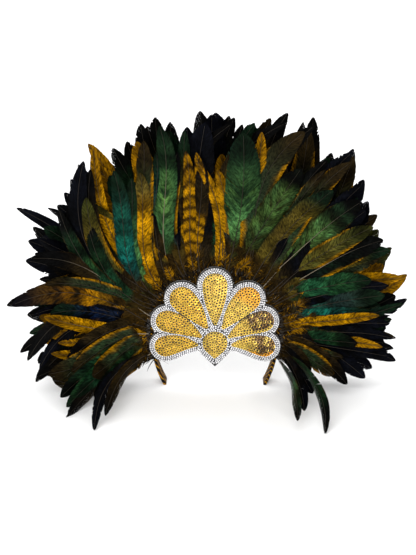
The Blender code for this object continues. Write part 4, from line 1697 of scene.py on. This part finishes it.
@dataclass
class PlatePattern:
    """Outlines of the plate's fields in its own plane, and rows of places that follow them."""

    cap_sides: int = 18
    spine_steps: int = 12
    centre_sides: int = 36
    step: float = 0.0004

    def petal(self, row: tuple) -> np.ndarray:
        """Outline of a petal.

        Args:
            row: The petal's row of the table.

        Returns:
            The outline, counterclockwise, as (x, z) points.
        """
        _, root_x, root_z, end_x, end_z, end_radius, root_radius, bow = row
        root = np.array([root_x * PLATE_REACH, root_z * PLATE_RISE])
        end = np.array([end_x * PLATE_REACH, end_z * PLATE_RISE])
        chord = end - root
        middle = (root + end) / 2 + np.array([-chord[1], chord[0]]) * bow
        small, large = root_radius * PLATE_REACH, end_radius * PLATE_REACH

        def off(t: float, turn: float, radius: float) -> np.ndarray:
            """A point off the petal's middle line.

            Args:
                t: Share of the line.
                turn: Which way the point lies, from the line's own way.
                radius: How far off it lies.

            Returns:
                The point.
            """
            spot = root * (1 - t) ** 2 + middle * 2 * t * (1 - t) + end * t * t
            way = (middle - root) * 2 * (1 - t) + (end - middle) * 2 * t
            angle = math.atan2(way[1], way[0]) + turn
            return spot + np.array([math.cos(angle), math.sin(angle)]) * radius

        shares = [i / self.spine_steps for i in range(self.spine_steps)]
        swell = [(t, small + (large - small) * math.sin(t * math.pi / 2)) for t in shares]
        right = [off(t, -math.pi / 2, r) for t, r in swell]
        cap = [off(1.0, math.pi * (i / self.cap_sides - 0.5), large) for i in range(self.cap_sides + 1)]
        left = [off(t, math.pi / 2, r) for t, r in swell]
        heel = [off(0.0, math.pi * (0.5 + i / 4), small) for i in range(1, 4)]
        return np.array(right + cap + left[::-1] + heel)

    def centre(self) -> np.ndarray:
        """Outline of the round centre with its lower point.

        Returns:
            The outline, counterclockwise, as (x, z) points.
        """
        tangent = math.acos(CENTRE_RADIUS / CENTRE_POINT)
        start, sweep = -math.pi / 2 + tangent, 2 * math.pi - 2 * tangent
        turns = [start + sweep * i / self.centre_sides for i in range(self.centre_sides + 1)]
        arc = [(CENTRE_RADIUS * math.cos(a), CENTRE_RADIUS * math.sin(a)) for a in turns]
        return np.array(arc + [(0.0, -CENTRE_POINT)])

    def fields(self) -> dict[str, np.ndarray]:
        """Outlines of all the fields.

        Returns:
            Every field's outline by its node's name.
        """
        found = {}
        for number, row in enumerate(PETALS, start=1):
            shape = self.petal(row)
            found[f"sequin_petal_{number}"] = shape
            if row[3]:
                found[f"sequin_petal_{2 * len(PETALS) - number}"] = (shape * (-1, 1))[::-1]
        found["sequin_centre"] = self.centre()
        return found

    def traced(self, outline: np.ndarray) -> tuple[np.ndarray, np.ndarray]:
        """Walk along an outline.

        Args:
            outline: The outline.

        Returns:
            Close points along it, and the inward way at each.
        """
        loop = np.concatenate([outline, outline[:1]])
        reach = np.concatenate([[0.0], np.cumsum(np.linalg.norm(np.diff(loop, axis=0), axis=1))])
        far = np.linspace(0.0, reach[-1], int(reach[-1] / self.step), endpoint=False)
        points = np.stack([np.interp(far, reach, loop[:, i]) for i in range(2)], 1)
        along = np.roll(points, -2, axis=0) - np.roll(points, 2, axis=0)
        along /= np.linalg.norm(along, axis=1)[:, None]
        return points, np.stack([-along[:, 1], along[:, 0]], 1)

    def row(
        self, outline: np.ndarray, inset: float, spacing: float, late: float = 0.0
    ) -> list[tuple[np.ndarray, float]]:
        """Places of one row that follows an outline.

        Args:
            outline: The field's outline.
            inset: How far inside the outline the row runs; outside where negative.
            spacing: Distance between its places.
            late: How far along the outline the row starts.

        Returns:
            Each place with the row's angle there.
        """
        points, inward = (np.roll(item, -int(late / self.step), axis=0) for item in self.traced(outline))
        moved = points + inward * inset
        gaps = np.linalg.norm(moved[:, None] - points[None, ::2], axis=2).min(axis=1)
        kept = gaps >= abs(inset) - self.step * 0.6
        found: list[tuple[np.ndarray, float]] = []
        for i in np.nonzero(kept)[0]:
            spot = moved[i]
            if all(np.hypot(*(spot - other)) >= spacing for other, _ in found[-3:] + found[:3]):
                found.append((spot, math.atan2(-inward[i][0], inward[i][1])))
        return found


def scattered(spot: np.ndarray, points: np.ndarray, number: int) -> np.ndarray:
    """Places in the pattern of a small part's points.

    Args:
        spot: Where the part lies on the plate.
        points: Its points, from its own middle.
        number: Its number.

    Returns:
        The place of each point, in millimetres, and the part's number.
    """
    return np.column_stack([spot * 1000 + points[:, :2] * 900, np.full(len(points), float(number))])


def inside(spots: np.ndarray, outline: np.ndarray) -> np.ndarray:
    """Whether spots lie inside an outline.

    Args:
        spots: The spots.
        outline: The outline.

    Returns:
        True or false for each spot.
    """
    a, b = outline, np.roll(outline, -1, axis=0)
    x, y = spots[:, 0:1], spots[:, 1:2]
    crosses = (a[:, 1] > y) != (b[:, 1] > y)
    rise = np.where(b[:, 1] == a[:, 1], 1e-12, b[:, 1] - a[:, 1])
    return (crosses & (x < (b[:, 0] - a[:, 0]) * (y - a[:, 1]) / rise + a[:, 0])).sum(axis=1) % 2 == 1


@dataclass
class SequinField:
    """Cup sequins of one field, sewn in rows that follow its outline."""

    node: str
    outline: np.ndarray
    pattern: PlatePattern
    arch: Arch
    wardrobe: Wardrobe
    radius: float = 0.00190
    hole: float = 0.00098
    flat: float = 0.00122
    cup: float = 0.00012
    sides: int = 12
    first_row: float = 0.00160
    row_pitch: float = 0.00315
    spacing: float = 0.00320
    overlap_tilt: float = 0.06
    tilt_noise: float = 0.03
    height: float = 0.00038
    brightness: Range = (0.60, 1.28)
    hole_shade: float = 0.22
    metallic: float = 0.94

    def places(self) -> list[tuple[np.ndarray, float, int]]:
        """Lay out the sequins.

        Returns:
            Every sequin's place, its row's angle, and the row's number from the edge.
        """
        found: list[tuple[np.ndarray, float, int]] = []
        number = 0
        while True:
            inset = self.first_row + number * self.row_pitch
            row = self.pattern.row(self.outline, inset, self.spacing, self.spacing / 2 * (number % 2))
            if not row:
                break
            found += [
                (spot, angle, number) for spot, angle in row
                if all(np.hypot(*(spot - other[0])) > self.spacing * 0.80 for other in found)
            ]
            number += 1
        return found + self.gaps(found)

    def gaps(self, found: list[tuple[np.ndarray, float, int]]) -> list[tuple[np.ndarray, float, int]]:
        """Fill what the rows leave open along a field's middle.

        Args:
            found: The sequins of the rows.

        Returns:
            The sequins between them, numbered as a row that no edge is near.
        """
        low, high = self.outline.min(axis=0), self.outline.max(axis=0)
        xs, zs = (np.arange(low[i], high[i], self.spacing / 6) for i in range(2))
        spots = np.stack(np.meshgrid(xs, zs), -1).reshape(-1, 2)
        edge, _ = self.pattern.traced(self.outline)
        spots = spots[inside(spots, self.outline)]
        clear = np.linalg.norm(spots[:, None] - edge[None, ::2], axis=2).min(axis=1)
        taken = np.array([spot for spot, _, _ in found])
        extra: list[tuple[np.ndarray, float, int]] = []
        for spot in spots[clear > self.first_row]:
            if np.linalg.norm(taken - spot, axis=1).min() > self.spacing * 0.66:
                extra.append((spot, 0.0, 9))
                taken = np.concatenate([taken, spot[None]])
        return extra

    def tone(
        self, spot: np.ndarray, angle: float, row: int, rng: np.random.Generator
    ) -> tuple[np.ndarray, float]:
        """Colour and extra tilt of a sequin at a place of the plate. On the outer parts of the right
        middle and right lower petals the colour darkens towards bronze, a painted dark reflection, and
        their outer row along the lower edge stays bright, a painted glint.

        Args:
            spot: Its place in the plate's plane.
            angle: The row's angle there.
            row: The row's number from the edge.
            rng: Where its chances come from.

        Returns:
            Its colour, and how far it leans away from the light.
        """
        deep = self.node in ("sequin_petal_1", "sequin_petal_2", "sequin_petal_3")
        colour = np.array(DEEP_GOLD if deep else GOLD) * rng.uniform(*self.brightness)
        colour = colour * (1.0, rng.uniform(0.92, 1.05), 1.0)
        far = float(np.hypot(*spot))
        painted_glint_rims = {"sequin_petal_6": GOLD, "sequin_petal_7": FIRE_GOLD}
        if self.node in painted_glint_rims:
            outer = float(ramp(np.array(far), 0.034, 0.046))
            # Painted glint: on the right middle and right lower petals, the outer row along the lower
            # edge stays bright
            if row == 0 and math.cos(angle) > 0.5:
                colour = colour + (np.array(painted_glint_rims[self.node]) - colour) * outer
                return np.clip(colour, 0.0, 1.0), 0.0
            # Painted dark reflection: the rest of their outer part darkens towards bronze
            if rng.random() < 0.8:
                dark = np.array(PAINTED_REFLECTION_BRONZE) * rng.uniform(0.45, 1.1)
            else:
                dark = np.array(GOLD) * 0.40
            return np.clip(colour + (dark - colour) * outer, 0.0, 1.0), 0.30 * outer
        if self.node == "sequin_petal_5":
            outer = float(ramp(np.array(far), 0.052, 0.062))
            colour = colour + (np.array(FIRE_GOLD) * 0.8 - colour) * outer * 0.7
        return np.clip(colour, 0.0, 1.0), 0.0

    def build(self) -> bpy.types.Object:
        """Make the field's sequins as one piece.

        Returns:
            The object, riding on the headdress.
        """
        rng = np.random.default_rng(sum(map(ord, self.node)))
        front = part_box(self.node)[0].y
        places = self.places()
        maps = cells(len(places), 1.0)
        turn = np.arange(self.sides) * 2 * math.pi / self.sides
        radii = np.array([self.hole, self.flat, self.radius])
        rise = np.array([0.0, 0.0, self.cup])
        cup = np.stack([
            radii[:, None] * np.cos(turn), radii[:, None] * np.sin(turn),
            np.broadcast_to(rise[:, None], (3, self.sides)),
        ], -1).reshape(-1, 3)
        shades = np.repeat(np.array([self.hole_shade, 1.0, 1.0]), self.sides)[:, None]
        share = np.arange(self.sides) / (self.sides - 1)
        across, along = np.meshgrid(share, np.array([0.0, 0.4, 1.0]))
        faces = tube_faces(3, self.sides)[:, ::-1]
        draft = Draft()
        for number, (spot, angle, row) in enumerate(places):
            colour, lean = self.tone(spot, angle, row, rng)
            tilt = Matrix.Rotation(angle, 3, "Z") @ Matrix.Rotation(
                self.overlap_tilt + rng.normal(0.0, self.tilt_noise), 3, "Y")
            away = Matrix.Rotation(-lean + rng.normal(0.0, self.tilt_noise), 3, "X")
            ring = cup @ np.array(away @ tilt).T
            height = self.height + lean * self.radius * 0.8 + rng.uniform(-0.00004, 0.00004)
            x = self.arch.centre + spot[0] + ring[:, 0]
            z = PLATE_CENTRE_HEIGHT + spot[1] + ring[:, 1]
            points = np.stack([x, front - height - ring[:, 2], z], 1)
            places_on_map = maps[number].place(across, along).reshape(-1, 2)
            draft.add(points, faces, 0, shades * colour, self.metallic, scattered(spot, ring, number),
                      places_on_map)
        piece = draft.finish(self.node.replace("sequin", "cup_sequins"), [self.wardrobe.sequin])
        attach(piece, "root")
        return piece


@dataclass
class BeadBorder:
    """Silver beads sewn in rows round every field."""

    pattern: PlatePattern
    arch: Arch
    wardrobe: Wardrobe
    radius: float = 0.00102
    rows: tuple[float, ...] = (0.00105, 0.00304, 0.00503)
    spacing: float = 0.00216
    closest: float = 0.86
    clearance: float = 0.95
    sides: int = 9
    rings: int = 5
    height: float = 0.00025
    brightness: Range = (0.78, 1.30)
    metallic: float = 0.45

    def __post_init__(self) -> None:
        """Trace every field's outline."""
        self.fields = self.pattern.fields()
        self.edges = {name: self.pattern.traced(shape)[0] for name, shape in self.fields.items()}

    def places(self) -> list[np.ndarray]:
        """Lay out the beads.

        Returns:
            Every bead's place in the plate's plane.
        """
        found: list[np.ndarray] = []
        for number, inset in enumerate(self.rows):
            late = self.spacing / 2 * (number % 2)
            for name, outline in self.fields.items():
                others = [edge for label, edge in self.edges.items() if label != name]
                for spot, _ in self.pattern.row(outline, -inset, self.spacing, late):
                    if any(inside(spot[None], other)[0] for other in self.fields.values()):
                        continue
                    if min(self.nearest(edge, spot) for edge in others) < self.radius * self.clearance:
                        continue
                    if all(np.hypot(*(spot - other)) > self.spacing * self.closest for other in found):
                        found.append(spot)
        return found + self.gaps(found)

    def nearest(self, points: np.ndarray, spot: np.ndarray) -> float:
        """Distance from a spot to the nearest of some points."""
        return np.linalg.norm(points - spot, axis=1).min()

    def gaps(self, found: list[np.ndarray]) -> list[np.ndarray]:
        """Fill what the rows leave open between the fields.

        Args:
            found: The beads of the rows.

        Returns:
            The places of the beads between them.
        """
        edges = np.concatenate(list(self.edges.values()))[::2]
        xs = np.arange(-PLATE_REACH, PLATE_REACH, self.spacing / 5)
        spots = np.stack(np.meshgrid(xs, xs), -1).reshape(-1, 2)
        for outline in self.fields.values():
            spots = spots[~inside(spots, outline)]
        near = np.array([self.nearest(edges, spot) for spot in spots])
        spots = spots[(near > self.radius * self.clearance) & (near < self.rows[-1])]
        taken = np.array(found)
        extra: list[np.ndarray] = []
        for spot in spots:
            if self.nearest(taken, spot) > self.spacing * self.closest:
                extra.append(spot)
                taken = np.concatenate([taken, spot[None]])
        return extra

    def build(self) -> bpy.types.Object:
        """Make the beads as one piece.

        Returns:
            The object, riding on the headdress.
        """
        rng = np.random.default_rng(77)
        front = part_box("bead_border")[0].y
        places = self.places()
        maps = cells(len(places), 1.0)
        fall = np.linspace(0.12, math.pi * 0.72, self.rings)
        turn = np.arange(self.sides) * 2 * math.pi / self.sides
        ball = np.stack([
            np.sin(fall)[:, None] * np.cos(turn), np.sin(fall)[:, None] * np.sin(turn),
            np.broadcast_to(np.cos(fall)[:, None], (self.rings, self.sides)),
        ], -1).reshape(-1, 3)
        share = np.arange(self.sides) / (self.sides - 1)
        across, along = np.meshgrid(share, np.linspace(0, 1, self.rings))
        rim = np.arange(1, self.sides)
        cap = np.stack([np.zeros(self.sides - 2, int), rim[:-1], rim[1:]], 1)
        faces = np.concatenate([tube_faces(self.rings, self.sides)[:, ::-1], cap[:, ::-1]])
        draft = Draft()
        for number, spot in enumerate(places):
            bead = ball * (self.radius * rng.uniform(0.94, 1.05))
            height = self.height + rng.uniform(-0.00005, 0.00008)
            x = self.arch.centre + spot[0] + bead[:, 0]
            z = PLATE_CENTRE_HEIGHT + spot[1] + bead[:, 1]
            points = np.stack([x, front - height - bead[:, 2], z], 1)
            colour = np.clip(np.array(SILVER) * rng.uniform(*self.brightness), 0.0, 0.98)
            draft.add(points, faces, 0, colour, self.metallic, scattered(spot, bead, number),
                      maps[number].place(across, along).reshape(-1, 2))
        piece = draft.finish("silver_seed_beads", [self.wardrobe.bead])
        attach(piece, "root")
        return piece


@dataclass
class RibbonWrap:
    """Ribbon wound slantwise round the headband, each turn lapping the one before."""

    arch: Arch
    wardrobe: Wardrobe
    pitch: float = 0.0085
    width: float = 0.0098
    slant: float = 0.0035
    low: float = 0.00004
    high: float = 0.00012
    corner: float = 0.0009

    def section(self) -> list[tuple[float, float, float]]:
        """The headband's section with round corners.

        Returns:
            For each point the middle of its corner, outward and across, and its turn there.
        """
        across, out = BAND_WIDTH / 2 - self.corner, BAND_THICKNESS / 2 - self.corner
        corners = ((out, across, 0.0), (-out, across, 0.5), (-out, -across, 1.0), (out, -across, 1.5))
        return [(r, y, math.pi * (first + i / 4)) for r, y, first in corners for i in range(3)]

    def ring(self, far: float, offset: float) -> list[tuple[float, float, float]]:
        """One ring of ribbon, aslant the headband.

        Args:
            far: How far along the headband it starts.
            offset: How far off the headband it lies.

        Returns:
            Its points.
        """
        points = []
        for r, y, turn in self.section():
            aslant = far + self.slant * (1.0 + y / (BAND_WIDTH / 2)) / 2
            place, normal = self.arch.at(aslant / self.arch.length)
            lift = self.corner + offset
            out = r + math.cos(turn) * lift
            z = max(place[1] + normal[1] * out, FLOOR_CLEARANCE)
            points.append((place[0] + normal[0] * out, y + math.sin(turn) * lift, z))
        return points

    def build(self) -> bpy.types.Object:
        """Make the turns as one piece.

        Returns:
            The object, riding on the headdress.
        """
        turns = int((self.arch.length - self.width) / self.pitch)
        maps = cells(turns, 0.4)
        parts = np.array([0.0, 0.5, 1.0])
        count = len(self.section())
        across, along = np.meshgrid(np.arange(count) / (count - 1), parts)
        draft = Draft()
        for k in range(turns):
            rings = [
                self.ring(k * self.pitch + part * self.width, offset)
                for part, offset in zip(parts, (self.high, self.high, self.low))
            ]
            points = self.arch.world(np.array(rings).reshape(-1, 3))
            lay = np.stack([across.ravel() * 50, along.ravel() * 10, np.full(across.size, float(k))], 1)
            draft.add(points, tube_faces(len(parts), count), 0, np.array(SOOT), 0.0, lay,
                      maps[k].place(across, along).reshape(-1, 2))
        piece = draft.finish("wound_ribbon", [self.wardrobe.ribbon])
        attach(piece, "root")
        return piece


@dataclass
class FrameDressing:
    """Finishes of the nodes that stay as the frame has them."""

    nodes: dict[str, bpy.types.Object]
    wardrobe: Wardrobe

    def dress(self) -> None:
        """Give each of them its finish."""
        finishes = {
            "headband": self.wardrobe.ribbon,
            "felt_backing": self.wardrobe.felt,
            "bead_border": self.wardrobe.silver_net,
            "sequin": self.wardrobe.gold_net,
        }
        for name, node in self.nodes.items():
            for start, material in finishes.items():
                if name.startswith(start):
                    self.give(node, material)

    def give(self, node: bpy.types.Object, material: bpy.types.Material) -> None:
        """Put one finish on every slot of a node.

        Args:
            node: The node.
            material: The finish's material.
        """
        if not node.material_slots:
            node.data.materials.append(material)
        for slot in node.material_slots:
            slot.material = material


@dataclass(frozen=True)
class Sun:
    """A wide soft lamp far away, by the way it shines and its power."""

    name: str
    way: tuple[float, float, float]
    power: float
    spread: float = 44.0


@dataclass(frozen=True)
class SoftBox:
    """A square lamp that is turned to the headdress, by its place, size and power."""

    name: str
    place: tuple[float, float, float]
    size: float
    power: float


SUNS = (
    Sun("wide_lamp", (0.10, -0.40, -1.0), 0.85),
    Sun("front_lamp", (0.25, 0.70, -0.90), 0.75),
)
SOFT_BOXES = (
    SoftBox("front_box", (-0.6, -2.2, 0.80), 1.1, 27.0),
    SoftBox("right_box", (1.5, -0.8, 1.1), 0.5, 5.0),
)


@dataclass
class Studio:
    """A pale table, soft lights and the camera.

    offset is the picture's middle, in steps to the right and up from the headband's foot line.
    """

    arch: Arch
    frame_width: int = 416
    offset: tuple[float, float] = (-7.0, 103.5)
    sensor: float = 36.0
    table_reach: float = 14.0
    surround: float = 1.08
    aim_height: float = 0.14

    def build(self) -> None:
        """Set everything up."""
        self.add_table()
        self.add_room()
        for sun in SUNS:
            self.add_sun(sun)
        for box in SOFT_BOXES:
            self.add_box(box)
        self.add_camera()

    def hang(self, data: bpy.types.ID, place: Vector, way: Vector) -> bpy.types.Object:
        """Put a lamp or a camera in the scene.

        Args:
            data: The lamp or the camera.
            place: Where it hangs.
            way: Which way it looks.

        Returns:
            Its object.
        """
        item = bpy.data.objects.new(data.name, data)
        item.location = place
        item.rotation_euler = way.to_track_quat("-Z", "Y").to_euler()
        bpy.context.scene.collection.objects.link(item)
        return item

    def add_table(self) -> None:
        """Add the table."""
        mesh = bpy.data.meshes.new("pale_table")
        far = self.table_reach
        corners = [(-far, -far, 0), (far, -far, 0), (far, far, 0), (-far, far, 0)]
        mesh.from_pydata(corners, [], [(0, 1, 2, 3)])
        mesh.materials.append(TableFinish().make())
        table = bpy.data.objects.new("pale_table", mesh)
        bpy.context.scene.collection.objects.link(table)

    def add_room(self) -> None:
        """Add the pale surround."""
        world = bpy.data.worlds.new("pale_room")
        world.use_nodes = True
        background = world.node_tree.nodes["Background"]
        background.inputs["Color"].default_value = (1.0, 1.0, 1.0, 1.0)
        background.inputs["Strength"].default_value = self.surround
        bpy.context.scene.world = world

    def add_sun(self, sun: Sun) -> None:
        """Add a lamp far away.

        Args:
            sun: The lamp.
        """
        light = bpy.data.lights.new(sun.name, "SUN")
        light.energy = sun.power
        light.angle = math.radians(sun.spread)
        self.hang(light, Vector(), Vector(sun.way))

    def add_box(self, box: SoftBox) -> None:
        """Add a soft box.

        Args:
            box: The soft box.
        """
        light = bpy.data.lights.new(box.name, "AREA")
        light.size = box.size
        light.energy = box.power
        aim = Vector((self.arch.centre, self.arch.depth, self.aim_height))
        self.hang(light, Vector(box.place), aim - Vector(box.place))

    def add_camera(self) -> None:
        """Add the camera at the photograph's angle."""
        sin, cos = math.sin(VIEW_ELEVATION), math.cos(VIEW_ELEVATION)
        up, back = Vector((0.0, sin, cos)), Vector((0.0, -cos, sin))
        anchor = Vector((self.arch.centre, self.arch.depth, 0.0))
        place = anchor + back * VIEW_DISTANCE
        right = Vector((self.offset[0] * VIEW_STEP, 0.0, 0.0))
        aim = anchor + right + up * self.offset[1] * VIEW_STEP
        data = bpy.data.cameras.new("photo_camera")
        data.sensor_fit = "HORIZONTAL"
        data.sensor_width = self.sensor
        data.lens = self.sensor * (aim - place).length / (VIEW_STEP * self.frame_width)
        bpy.context.scene.camera = self.hang(data, place, aim - place)


def report(piece: bpy.types.Object) -> None:
    """Log a piece's name and triangles."""
    LOG.info("%s: %d triangles", piece.name, len(piece.data.polygons))


def main() -> None:
    """Build the whole headdress round the frame."""
    logging.basicConfig(level=logging.INFO, format="%(name)s: %(message)s")
    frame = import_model()
    low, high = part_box("headband")
    arch = Arch((low.x + high.x) / 2, (low.y + high.y) / 2)
    wardrobe = Wardrobe()
    FrameDressing(frame["nodes"], wardrobe).dress()
    for sector in range(len(SECTORS)):
        tufts = (
            FeatherTuft(Row.BACK, sector, arch, wardrobe, fillers=1),
            FeatherTuft(Row.MIDDLE, sector, arch, wardrobe),
            FeatherTuft(
                Row.FRONT, sector, arch, wardrobe, fillers=1, filler_reach=(0.70, 0.92), pitch=0.0014,
                coverts=FRONT_COVERTS[sector], down_hairs=FRONT_HAIRS[sector],
            ),
        )
        for tuft in tufts:
            report(tuft.build())
    pattern = PlatePattern()
    for node, outline in pattern.fields().items():
        report(SequinField(node, outline, pattern, arch, wardrobe).build())
    report(BeadBorder(pattern, arch, wardrobe).build())
    report(RibbonWrap(arch, wardrobe).build())
    Studio(arch).build()
    bpy.context.scene.view_settings.view_transform = "Standard"


if __name__ == "__main__":
    main()
